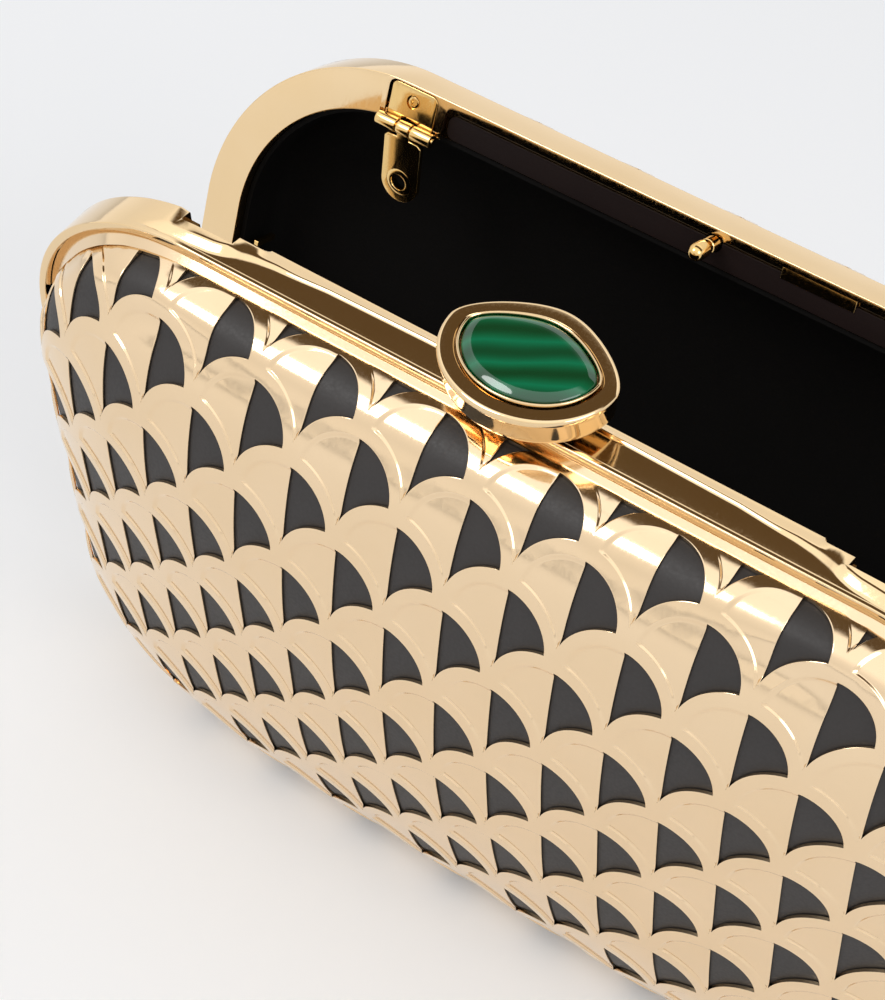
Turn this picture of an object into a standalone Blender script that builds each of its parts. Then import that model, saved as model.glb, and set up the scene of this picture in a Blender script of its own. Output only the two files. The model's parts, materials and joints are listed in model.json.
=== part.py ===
"""Hard evening clutch: two gold half frames hinged along the bottom, each with an
open fish-scale cage over a black leather shell, a stone-set push clasp at the top
and two folding lugs for a chain.

Each half is drawn upright in its own frame: X across, Z up from the bottom hinge
line, Y away from the plane where the halves meet. The front half lies at -Y, the
rear half at +Y. Two empties on the hinge line then lean the halves apart.
"""
import math

import bmesh
import bpy
import numpy as np
from mathutils import Matrix, Vector
from mathutils.geometry import delaunay_2d_cdt

MODEL_NAME = "clutch"

# Case, as seen from the front
CASE_WIDTH = 0.180
CASE_HEIGHT = 0.117
CORNER_RADIUS = 0.0344
OPEN_ANGLE = math.radians(23.7)
REST_LAND_DEPTH = 0.0002

# Ring frames
RING_DEPTH = 0.0069
RING_WALL = 0.00135
FLANGE_WIDTH = 0.0068
FLANGE_THICKNESS = 0.0023
FACE_GAP = 0.00015
FRONT_LIP = 0.0010
FRONT_RECESS = 0.0015
FRONT_RECESS_FLOOR = 0.0014
RECESS_LUG_ROOM = 0.0010
RECESS_CORNER = 0.0036
NOTCH_DROP = 0.0026
NOTCH_DEPTH = 0.0021
REBATE_LUG_ROOM = 0.00185
REBATE_DEPTH = 0.00175
REBATE_LIP = 0.0011
REBATE_CORNER = 0.0015
TONGUE_PROUD = 0.0010

# Domes
CAGE_RISE = 0.0212
CAGE_BASE = 0.0079
CAGE_ROOM = 0.0023
CAGE_THICKNESS = 0.0010
LEATHER_ROOM = 0.0013
LEATHER_RISE_ROOM = 0.0016
LEATHER_THICKNESS = 0.0008
LINING_ROOM = 0.0005
LINING_THICKNESS = 0.0008
LINING_RISE_ROOM = 0.0006
LINING_RIM = 0.0020
SEAT_GAP = 0.0003
CROWN_POWER = 1.6
SHOULDER_POWER = 2.81
SHELL_SHOULDER_POWER = 2.45
OUTLINE_POWER = 4.375

# Fish scales of the cage
SCALE_RADIUS = 0.00935
SCALE_SHIFT_X = 0.00107
SCALE_SHIFT_Z = -0.00804
WINDOW_SIDE_GAP = 0.00045
WINDOW_EDGE_MARGIN = 0.0011
WINDOW_LEAST_AREA = 0.000028
WINDOW_DROP_SHARE = 0.19
WINDOW_RADIUS_SHARE = 0.843
EXTRA_POINT_GAP = 0.0012
WINDOW_STEPS = 2
CAGE_RING_SHARES = (0.93, 0.965, 0.985)

# Bottom hinges
HINGE_CORNER_ROOM = 0.0176
HINGE_LENGTH = 0.024
HINGE_KNUCKLES = 5
HINGE_KNUCKLE_GAP = 0.0003
HINGE_BARREL_RADIUS = 0.0011
HINGE_BORE_RADIUS = 0.00075
HINGE_PIN_RADIUS = 0.00045
HINGE_LEAF_FACE = 0.00075
HINGE_LEAF_THICKNESS = 0.0006
HINGE_LEAF_HEIGHT = 0.0061
HINGE_LEAF_FOOT = 0.0017
HINGE_FINGER_FOOT = 0.0005
FINGER_INSET = 0.0001
HINGE_SCREW_INSET = 0.0035
HINGE_SCREW_Z = 0.0040

# Chain lugs
LUG_CORNER_ROOM = 0.00075
LUG_AXIS_DROP = 0.0074
LUG_AXIS_Y = -0.00035
LUG_BARREL_RADIUS = 0.00115
LUG_BORE_RADIUS = 0.00075
LUG_PIN_RADIUS = 0.00045
LUG_BARREL_LENGTH = 0.0105
LUG_KNUCKLE_LENGTH = 0.0024
LUG_KNUCKLE_GAP = 0.0003
LUG_LEAF_WIDTH = 0.0087
LUG_LEAF_FACE = 0.00045
LUG_LEAF_THICKNESS = 0.0007
LUG_LEAF_DROP = 0.0007
LUG_LEAF_FOOT = 0.0015
LUG_SCREW_RISE = 0.0043
TAB_WIDTH = 0.0070
TAB_LENGTH = 0.0125
TAB_THICKNESS = 0.0010
TAB_SHOULDER = 0.0017
EYELET_DROP = 0.0090
EYELET_RADIUS = 0.0018
EYELET_BORE = 0.0013
EYELET_DEPTH = 0.0013

# Screws
SCREW_HEAD_RADIUS = 0.00095
SCREW_HEAD_THICKNESS = 0.00035
SCREW_SHANK_RADIUS = 0.0005
SCREW_LENGTH = 0.0014
SCREW_SEAT_GAP = 0.0001
SCREW_SIDES = 10

# Clasp
CLASP_HALF_WIDTH = 0.0136
CLASP_FRONT_REACH = 0.0115
CLASP_REAR_REACH = 0.0103
CLASP_CENTRE_Y = 0.0012
CLASP_TAPER_SHARE = 0.32
CLASP_BOTTOM = 0.0011
CLASP_BLOCK_HEIGHT = 0.0037
CLASP_PLATE_THICKNESS = 0.0013
CLASP_PLATE_OVERHANG = 0.0005
CLASP_TRAVEL = 0.0008
BEZEL_INSET = 0.0027
BEZEL_WALL = 0.00045
BEZEL_DEPTH = 0.0009
BEZEL_RISE = 0.0005
STONE_CROWN = 0.0010
STONE_SHOULDER_SHARE = 1.25
STONE_SHOULDER_RISE_SHARE = 0.6
STONE_TABLE_SHARE = 0.55
CLASP_BASE_HALF_WIDTH = 0.0070
CLASP_BASE_DEPTH = 0.0055
CLASP_BASE_RISE = 0.0009
CLASP_ROOM_HALF_WIDTH = 0.0080
CLASP_ROOM_FRONT = 0.0064
CLASP_ROOM_REAR = 0.0010
CLASP_ROOM_RISE = 0.0040
SPRING_X = 0.0048
SPRING_RADIUS = 0.0011
SPRING_WIRE_RADIUS = 0.0002
SPRING_TURNS = 2.5

# Strike pin and latch plate
PIN_DROP = 0.0030
PIN_HEAD_RADIUS = 0.0012
PIN_NECK_RADIUS = 0.0005
PIN_LENGTH = 0.0053
PIN_TIP_RADIUS = 0.0007
LATCH_FACE = 0.00115
LATCH_THICKNESS = 0.0005
LATCH_HALF_WIDTH = 0.0030
LATCH_WINDOW_HALF = 0.0015
LATCH_WINDOW_BELOW = 0.0008
LATCH_WINDOW_ABOVE = 0.0025
LATCH_BAR = 0.0010
LATCH_SIDE_ROOM = 0.0004

# Small pieces inside the rear half
LIP_LEATHER_FACE = 0.00125
LIP_LEATHER_THICKNESS = 0.0003
KEEPER_X = 0.0180
KEEPER_LENGTH = 0.0125
KEEPER_HEIGHT = 0.0009
SIDE_BAR_DROP = 0.0403
SIDE_BAR_LENGTH = 0.0048
SIDE_BAR_SIZE = 0.0009
SIDE_BAR_FACE = 0.0024
SIDE_BAR_ROOM = 0.0014

# Clearances and construction
CLEARANCE = 0.0003
OVERRUN = 0.0010
WELD_DISTANCE = 0.000001
FINE_WELD = 0.00001
EDGE_WELD = 0.0001
CORNER_STEPS = 9
SHELL_SIDES = 32
SHELL_RING_SHARES = (0.45, 0.75, 0.91, 0.98)
OUTLINE_SIDES = 64
ROUND_SIDES = 12
GROOVE_SIDES = 14
CLASP_SIDES = 28
SPRING_SIDES = 8
SECTION_SAMPLES = 160

LEAN = OPEN_ANGLE / 2
HINGE_LIFT = RING_DEPTH * math.sin(LEAN) - REST_LAND_DEPTH
FRONT, REAR = -1, 1
FLANGE_BACK = FACE_GAP + FLANGE_THICKNESS
SHELL_SEAT = FLANGE_BACK + SEAT_GAP

# Places that follow the case: along its straight edges and down from its top
STRAIGHT_HALF = CASE_WIDTH / 2 - CORNER_RADIUS
HINGE_CENTRE_X = STRAIGHT_HALF - HINGE_CORNER_ROOM
HINGE_SCREW_X = HINGE_LENGTH / 2 - HINGE_SCREW_INSET
LUG_CENTRE_X = STRAIGHT_HALF - LUG_CORNER_ROOM
LUG_NEAR_EDGE = LUG_CENTRE_X - LUG_LEAF_WIDTH / 2
LUG_FAR_EDGE = LUG_CENTRE_X + LUG_LEAF_WIDTH / 2
LUG_AXIS_Z = CASE_HEIGHT - LUG_AXIS_DROP
LUG_LEAF_TOP = CASE_HEIGHT - LUG_LEAF_DROP
REBATE_HALF = LUG_NEAR_EDGE - REBATE_LUG_ROOM
NOTCH_INNER = LUG_NEAR_EDGE + CLEARANCE
FRONT_RECESS_HALF = LUG_FAR_EDGE + RECESS_LUG_ROOM
PIN_AXIS_Z = CASE_HEIGHT - PIN_DROP
SIDE_BAR_Z = CASE_HEIGHT - SIDE_BAR_DROP


def clear_scene():
    for item in list(bpy.data.objects):
        bpy.data.objects.remove(item, do_unlink=True)


def new_collection(name):
    group = bpy.data.collections.new(name)
    bpy.context.scene.collection.children.link(group)
    return group


def new_material(name, colour, roughness, metallic=0.0):
    finish = bpy.data.materials.new(name)
    finish.use_nodes = True
    shader = finish.node_tree.nodes["Principled BSDF"]
    shader.inputs["Base Color"].default_value = (*colour, 1.0)
    shader.inputs["Roughness"].default_value = roughness
    shader.inputs["Metallic"].default_value = metallic
    return finish


def new_empty(name, parent=None, location=(0.0, 0.0, 0.0), turn=0.0):
    empty = bpy.data.objects.new(name, None)
    MODEL.objects.link(empty)
    empty.parent = parent
    empty.location = location
    empty.rotation_euler = (turn, 0.0, 0.0)
    return empty


def place(name, mesh, parent, finish, turned=False):
    """Make a mesh drawn in its half's frame into a named piece of that half."""
    piece = bpy.data.objects.new(name, mesh)
    MODEL.objects.link(piece)
    piece.parent = parent
    if turned:
        piece.rotation_euler = (0.0, 0.0, math.pi)
    if not mesh.materials:
        mesh.materials.append(finish)
    mesh.shade_smooth()
    mesh.set_sharp_from_angle(angle=math.radians(35))
    return piece


def guide(name, mesh, parent):
    tool = bpy.data.objects.new(name, mesh)
    CUTTERS.objects.link(tool)
    tool.parent = parent
    tool.hide_render = True
    tool.display_type = "WIRE"
    return tool


def combine(piece, meshes, operation, tag, parent="same"):
    """Cut meshes from a piece, or join them to it, in one Boolean step."""
    owner = piece.parent if parent == "same" else parent
    tool = guide(f"{piece.name}_{tag}", merged(meshes), owner)
    step = piece.modifiers.new(tag, "BOOLEAN")
    step.operation = operation
    step.solver = "EXACT"
    step.object = tool


def cut(piece, tag, *meshes, parent="same"):
    combine(piece, meshes, "DIFFERENCE", tag, parent)


def join(piece, tag, *meshes):
    combine(piece, meshes, "UNION", tag)


def merged(meshes):
    body = bmesh.new()
    for mesh in meshes:
        body.from_mesh(mesh)
    result = bpy.data.meshes.new("joined")
    body.to_mesh(result)
    body.free()
    return result


def block(low, high):
    body = bmesh.new()
    bmesh.ops.create_cube(body, size=1.0)
    low, high = Vector(low), Vector(high)
    bmesh.ops.scale(body, vec=high - low, verts=body.verts)
    bmesh.ops.translate(body, vec=(low + high) / 2, verts=body.verts)
    mesh = bpy.data.meshes.new("block")
    body.to_mesh(mesh)
    body.free()
    return mesh


AXIS_TURNS = {
    "X": Matrix.Rotation(math.pi / 2, 4, "Y"),
    "Y": Matrix.Rotation(-math.pi / 2, 4, "X"),
    "Z": Matrix.Identity(4),
}


def rod(axis, centre, start, end, radius, end_radius=None, sides=ROUND_SIDES):
    """A round bar along an axis from start to end; centre holds the other two places."""
    body = bmesh.new()
    last = radius if end_radius is None else end_radius
    bmesh.ops.create_cone(
        body, cap_ends=True, segments=sides, radius1=radius, radius2=last, depth=end - start
    )
    middle = (start + end) / 2
    places = {
        "X": (middle, centre[0], centre[1]),
        "Y": (centre[0], middle, centre[1]),
        "Z": (centre[0], centre[1], middle),
    }
    body.transform(Matrix.Translation(places[axis]) @ AXIS_TURNS[axis])
    mesh = bpy.data.meshes.new("rod")
    body.to_mesh(mesh)
    body.free()
    return mesh


PLATE_TURNS = {
    "Y": Matrix.Rotation(math.pi / 2, 4, "X"),
    "Z": Matrix.Identity(4),
}


def plate(outlines, low, high, along="Y"):
    """A flat outline, with any holes, made solid between two levels of Y or of Z."""
    curve = bpy.data.curves.new("outline", "CURVE")
    curve.dimensions = "2D"
    curve.fill_mode = "BOTH"
    curve.extrude = (high - low) / 2
    for points in outlines:
        spline = curve.splines.new("POLY")
        spline.points.add(len(points) - 1)
        for point, (across, up) in zip(spline.points, points):
            point.co = (across, up, 0.0, 1.0)
        spline.use_cyclic_u = True
    holder = bpy.data.objects.new("outline", curve)
    bpy.context.scene.collection.objects.link(holder)
    depsgraph = bpy.context.evaluated_depsgraph_get()
    mesh = bpy.data.meshes.new_from_object(holder.evaluated_get(depsgraph))
    bpy.data.objects.remove(holder, do_unlink=True)
    bpy.data.curves.remove(curve)
    body = bmesh.new()
    body.from_mesh(mesh)
    bmesh.ops.remove_doubles(body, verts=body.verts, dist=WELD_DISTANCE)
    shift = Vector((0.0, 0.0, 0.0))
    shift["XYZ".index(along)] = (low + high) / 2
    body.transform(Matrix.Translation(shift) @ PLATE_TURNS[along])
    body.to_mesh(mesh)
    body.free()
    return mesh


def arc(centre, radius, first, last, steps):
    return [
        (
            centre[0] + radius * math.cos(first + (last - first) * step / steps),
            centre[1] + radius * math.sin(first + (last - first) * step / steps),
        )
        for step in range(steps + 1)
    ]


def rounded_outline(left, right, bottom, top, radius, steps):
    """A rectangle with round corners, run anticlockwise from the bottom right."""
    corners = (
        (right - radius, bottom + radius, -math.pi / 2),
        (right - radius, top - radius, 0.0),
        (left + radius, top - radius, math.pi / 2),
        (left + radius, bottom + radius, math.pi),
    )
    points = []
    for across, up, turn in corners:
        points += arc((across, up), radius, turn, turn + math.pi / 2, steps)
    return points


def case_outline(inset):
    return rounded_outline(
        inset - CASE_WIDTH / 2,
        CASE_WIDTH / 2 - inset,
        inset,
        CASE_HEIGHT - inset,
        CORNER_RADIUS - inset,
        CORNER_STEPS,
    )


def span(side, near, far):
    """Two distances from the meeting plane as low and high Y on one side of it."""
    return sorted((side * near, side * far))


def ring_frame(name, side, parent):
    near, far = span(side, FACE_GAP, RING_DEPTH)
    body = plate([case_outline(0.0), case_outline(FLANGE_WIDTH)], near, far)
    frame = place(name, body, parent, GOLD)
    near, far = span(side, FLANGE_BACK, RING_DEPTH + OVERRUN)
    cut(frame, "channel", plate([case_outline(RING_WALL)], near, far))
    return frame


class Dome:
    """A pillow-shaped surface over the case outline, measured from the case centre."""

    def __init__(self, inset, rise, shoulder_power=SHOULDER_POWER):
        self.half_width = CASE_WIDTH / 2 - inset
        self.half_height = CASE_HEIGHT / 2 - inset
        self.rise = rise
        self.shoulder_share = 1 / shoulder_power
        shares = np.sin(np.linspace(0.0, math.pi / 2, SECTION_SAMPLES))
        self.shares = shares
        self.across_x = self.half_width * shares
        self.across_arc = self.arc_lengths(self.across_x, 0.0 * self.across_x)

    def depth(self, x, z):
        share = (
            np.abs(x / self.half_width) ** OUTLINE_POWER
            + np.abs(z / self.half_height) ** OUTLINE_POWER
        ) ** (1 / OUTLINE_POWER)
        share = np.clip(share, 0.0, 1.0)
        return self.rise * (1 - share**CROWN_POWER) ** self.shoulder_share

    def arc_lengths(self, x, z):
        depth = self.depth(x, z)
        steps = np.sqrt(np.diff(x) ** 2 + np.diff(z) ** 2 + np.diff(depth) ** 2)
        return np.concatenate(([0.0], np.cumsum(steps)))

    def edge_z(self, x):
        share = np.clip(1 - np.abs(x / self.half_width) ** OUTLINE_POWER, 0.0, 1.0)
        return self.half_height * share ** (1 / OUTLINE_POWER)

    def column(self, x):
        """Heights up one section of the dome and the length of arc to each."""
        z = self.edge_z(x) * self.shares
        return z, self.arc_lengths(np.full_like(z, x), z)

    def wrap(self, along, up):
        """The point of the dome at given lengths of arc from its centre."""
        x = math.copysign(float(np.interp(abs(along), self.across_arc, self.across_x)), along)
        heights, arcs = self.column(x)
        z = math.copysign(float(np.interp(abs(up), arcs, heights)), up)
        return x, z

    def unwrap(self, x, z):
        along = math.copysign(float(np.interp(abs(x), self.across_x, self.across_arc)), x)
        heights, arcs = self.column(x)
        up = math.copysign(float(np.interp(abs(z), heights, arcs)), z)
        return along, up

    def limit(self, along):
        """The length of arc from the middle of a column to the dome's edge."""
        x = float(np.interp(abs(along), self.across_arc, self.across_x))
        return float(self.column(x)[1][-1])

    def contour(self, share, sides):
        """Points at one share of the way from the centre to the edge."""
        points = []
        for step in range(sides):
            turn = 2 * math.pi * step / sides
            across, up = math.cos(turn), math.sin(turn)
            x = math.copysign(abs(across) ** (2 / OUTLINE_POWER), across)
            z = math.copysign(abs(up) ** (2 / OUTLINE_POWER), up)
            points.append((share * self.half_width * x, share * self.half_height * z))
        return points

    def point(self, x, z):
        return Vector((x, -CAGE_BASE - float(self.depth(x, z)), CASE_HEIGHT / 2 + z))


def thicken(piece, thickness):
    step = piece.modifiers.new("wall", "SOLIDIFY")
    step.thickness = thickness
    step.offset = -1.0


def dome_shell(name, inset, rise, rim):
    """The open surface of a plain dome with a straight skirt down to its rim."""
    dome = Dome(inset, rise, SHELL_SHOULDER_POWER)
    body = bmesh.new()
    crown = body.verts.new(dome.point(0.0, 0.0))
    rings = [
        [body.verts.new(dome.point(x, z)) for x, z in dome.contour(share, SHELL_SIDES)]
        for share in (*SHELL_RING_SHARES, 1.0)
    ]
    rings.append([body.verts.new((v.co.x, -rim, v.co.z)) for v in rings[-1]])
    for step in range(SHELL_SIDES):
        after = (step + 1) % SHELL_SIDES
        body.faces.new((crown, rings[0][step], rings[0][after]))
        for inner, outer in zip(rings, rings[1:]):
            body.faces.new((inner[step], outer[step], outer[after], inner[after]))
    bmesh.ops.recalc_face_normals(body, faces=body.faces)
    mesh = bpy.data.meshes.new(name)
    body.to_mesh(mesh)
    body.free()
    return mesh


def window_points():
    """The open half of one fish scale, about the scale's centre."""
    inner = WINDOW_RADIUS_SHARE * SCALE_RADIUS
    drop = WINDOW_DROP_SHARE * SCALE_RADIUS
    side = WINDOW_SIDE_GAP
    top = math.sqrt(inner**2 - side**2) - drop
    tip = math.sqrt(SCALE_RADIUS**2 - (SCALE_RADIUS - side) ** 2) - SCALE_RADIUS
    first = math.atan2(top + drop, side)
    last = math.radians(4)
    sweep = arc((0.0, -drop), inner, first, last, WINDOW_STEPS)
    foot = math.acos((sweep[-1][0] - SCALE_RADIUS) / SCALE_RADIUS)
    start = math.atan2(tip + SCALE_RADIUS, side - SCALE_RADIUS)
    lower = arc((SCALE_RADIUS, -SCALE_RADIUS), SCALE_RADIUS, foot, start, WINDOW_STEPS)
    return list(reversed(sweep + lower))


def polygon_area(points):
    total = 0.0
    for (x, z), (next_x, next_z) in zip(points, points[1:] + points[:1]):
        total += x * next_z - next_x * z
    return abs(total) / 2


def cage_windows(dome):
    """Every scale's window, laid out flat and kept within the dome's edge."""
    shape = window_points()
    reach = float(dome.across_arc[-1]) - WINDOW_EDGE_MARGIN
    columns = math.ceil(reach / SCALE_RADIUS) + 1
    windows = []
    for row in range(-columns, columns + 1):
        for column in range(-columns, columns + 1):
            if (row + column) % 2:
                continue
            centre_x = SCALE_SHIFT_X + column * SCALE_RADIUS
            centre_z = SCALE_SHIFT_Z + row * SCALE_RADIUS
            points = []
            for across, up in shape:
                along = min(max(centre_x + across, -reach), reach)
                top = max(dome.limit(along) - WINDOW_EDGE_MARGIN, 0.0)
                points.append((along, min(max(centre_z + up, -top), top)))
            if polygon_area(points) > WINDOW_LEAST_AREA:
                windows.append(points)
    return windows


def gap_to_outline(point, outline):
    """How far a point lies from an outline's edge."""
    place_2d = np.array(point)
    ends = np.array(outline)
    runs = np.roll(ends, -1, axis=0) - ends
    lengths = np.maximum((runs**2).sum(axis=1), WELD_DISTANCE**2)
    shares = np.clip(((place_2d - ends) * runs).sum(axis=1) / lengths, 0.0, 1.0)
    nearest = ends + shares[:, None] * runs
    return float(np.sqrt(((place_2d - nearest) ** 2).sum(axis=1)).min())


def cage_mesh():
    """The pierced sheet of the cage, bent onto the dome, with its skirt."""
    dome = Dome(RING_WALL + CAGE_ROOM, CAGE_RISE)
    edge = [dome.unwrap(x, z) for x, z in dome.contour(1.0, OUTLINE_SIDES)]
    windows = cage_windows(dome)
    extra = []
    for share in CAGE_RING_SHARES:
        for x, z in dome.contour(share, OUTLINE_SIDES):
            point = dome.unwrap(x, z)
            if all(gap_to_outline(point, window) > EXTRA_POINT_GAP for window in windows):
                extra.append(point)
    points, loops = list(edge), [list(range(len(edge)))]
    for window in windows:
        loops.append(list(range(len(points), len(points) + len(window))))
        points += window
    points += extra
    flat = delaunay_2d_cdt([Vector(p) for p in points], [], loops, 1, WELD_DISTANCE)
    corners, faces, sources = flat[0], flat[2], flat[5]
    body = bmesh.new()
    verts = [body.verts.new(dome.point(*dome.wrap(*corner))) for corner in corners]
    for face, inside in zip(faces, sources):
        if not any(loop > 0 for loop in inside):
            body.faces.new([verts[index] for index in face])
    loose = [vert for vert in body.verts if not vert.link_faces]
    bmesh.ops.delete(body, geom=loose, context="VERTS")
    skirt = [
        e for e in body.edges
        if e.is_boundary and all(v.co.y > -CAGE_BASE - EDGE_WELD for v in e.verts)
    ]
    grown = bmesh.ops.extrude_edge_only(body, edges=skirt)["geom"]
    for item in grown:
        if isinstance(item, bmesh.types.BMVert):
            item.co.y = -SHELL_SEAT
    bmesh.ops.recalc_face_normals(body, faces=body.faces)
    mesh = bpy.data.meshes.new("cage")
    body.to_mesh(mesh)
    body.free()
    print(f"cage: {len(windows)} windows, {len(extra)} extra points")
    return mesh


def knuckles(owner, count, length, gap, centre_x):
    """The X limits of every other knuckle of a barrel, from the first or the second."""
    pitch = length / count
    start = centre_x - length / 2
    return [
        (start + step * pitch + gap / 2, start + (step + 1) * pitch - gap / 2)
        for step in range(owner, count, 2)
    ]


def rectangle(left, right, bottom, top):
    return [(left, bottom), (right, bottom), (right, top), (left, top)]


def circle(centre, radius):
    return arc(centre, radius, 0.0, 2 * math.pi, ROUND_SIDES)[:-1]


def build_screw(name, side, face, spot, parent):
    """A flat-headed screw driven into a half's flange; its head lies before the leaf."""
    seat = face - SCREW_SEAT_GAP
    near, far = span(side, seat - SCREW_HEAD_THICKNESS, seat)
    head = rod("Y", spot, near, far, SCREW_HEAD_RADIUS, sides=SCREW_SIDES)
    piece = place(name, head, parent, HINGE_GOLD)
    near, far = span(side, seat - SCREW_HEAD_THICKNESS / 2, seat + SCREW_LENGTH)
    join(piece, "shank", rod("Y", spot, near, far, SCREW_SHANK_RADIUS, sides=SCREW_SIDES))


def finger_gaps(left, right, turns, near, far):
    """The spaces between a leaf's fingers, where the other leaf's knuckles turn."""
    edges = [left - OVERRUN, *[x for turn in turns for x in turn], right + OVERRUN]
    gaps = []
    for low, high in zip(edges[::2], edges[1::2]):
        low = low if low < left else low - FINGER_INSET
        high = high if high > right else high + FINGER_INSET
        foot = HINGE_FINGER_FOOT - OVERRUN
        gaps.append(block((low, near - OVERRUN, foot), (high, far + OVERRUN, HINGE_LEAF_FOOT)))
    return gaps


def build_bottom_hinge(label, centre_x, frames, halves):
    """One butt hinge: two leaves let into the flanges, with a pin on the hinge line."""
    left, right = centre_x - HINGE_LENGTH / 2, centre_x + HINGE_LENGTH / 2
    places = [(centre_x + sign * HINGE_SCREW_X, HINGE_SCREW_Z) for sign in (-1, 1)]
    for side, word, owner in ((REAR, "rear", 0), (FRONT, "front", 1)):
        turns = knuckles(owner, HINGE_KNUCKLES, HINGE_LENGTH, HINGE_KNUCKLE_GAP, centre_x)
        outline = rectangle(left, right, HINGE_FINGER_FOOT, HINGE_LEAF_HEIGHT)
        holes = [circle(spot, SCREW_SHANK_RADIUS + CLEARANCE) for spot in places]
        near, far = span(side, HINGE_LEAF_FACE, HINGE_LEAF_FACE + HINGE_LEAF_THICKNESS)
        leaf = place(
            f"{label}_{word}_leaf", plate([outline, *holes], near, far), halves[side], HINGE_GOLD
        )
        cut(leaf, "gaps", *finger_gaps(left, right, turns, near, far))
        barrels = [
            rod("X", (0.0, 0.0), low, high, HINGE_BARREL_RADIUS) for low, high in turns
        ]
        join(leaf, "barrel", *barrels)
        bore = rod("X", (0.0, 0.0), left - OVERRUN, right + OVERRUN, HINGE_BORE_RADIUS)
        cut(leaf, "bore", bore)
        for number, spot in enumerate(places, 1):
            build_screw(f"{label}_{word}_screw_{number}", side, HINGE_LEAF_FACE, spot, halves[side])
        frame = frames[side]
        pocket_floor = HINGE_LEAF_FACE + HINGE_LEAF_THICKNESS + CLEARANCE
        near, far = span(side, -OVERRUN, pocket_floor)
        pocket = block(
            (left - CLEARANCE, near, -OVERRUN), (right + CLEARANCE, far, HINGE_LEAF_HEIGHT + CLEARANCE)
        )
        cut(frame, f"{label}_pocket", pocket)
        groove_radius = math.hypot(
            HINGE_LEAF_FACE + HINGE_LEAF_THICKNESS, HINGE_FINGER_FOOT
        ) + CLEARANCE
        groove = rod(
            "X", (0.0, 0.0), left - CLEARANCE, right + CLEARANCE, groove_radius, sides=GROOVE_SIDES
        )
        cut(frame, f"{label}_groove", groove)
        hole_end = HINGE_LEAF_FACE + SCREW_LENGTH
        near, far = span(side, FACE_GAP, hole_end)
        pilots = [
            rod("Y", spot, near, far, SCREW_SHANK_RADIUS + CLEARANCE) for spot in places
        ]
        cut(frame, f"{label}_pilots", *pilots)
    pin = rod("X", (0.0, 0.0), left, right, HINGE_PIN_RADIUS)
    place(f"{label}_pin", pin, halves[REAR], HINGE_GOLD)


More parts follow.
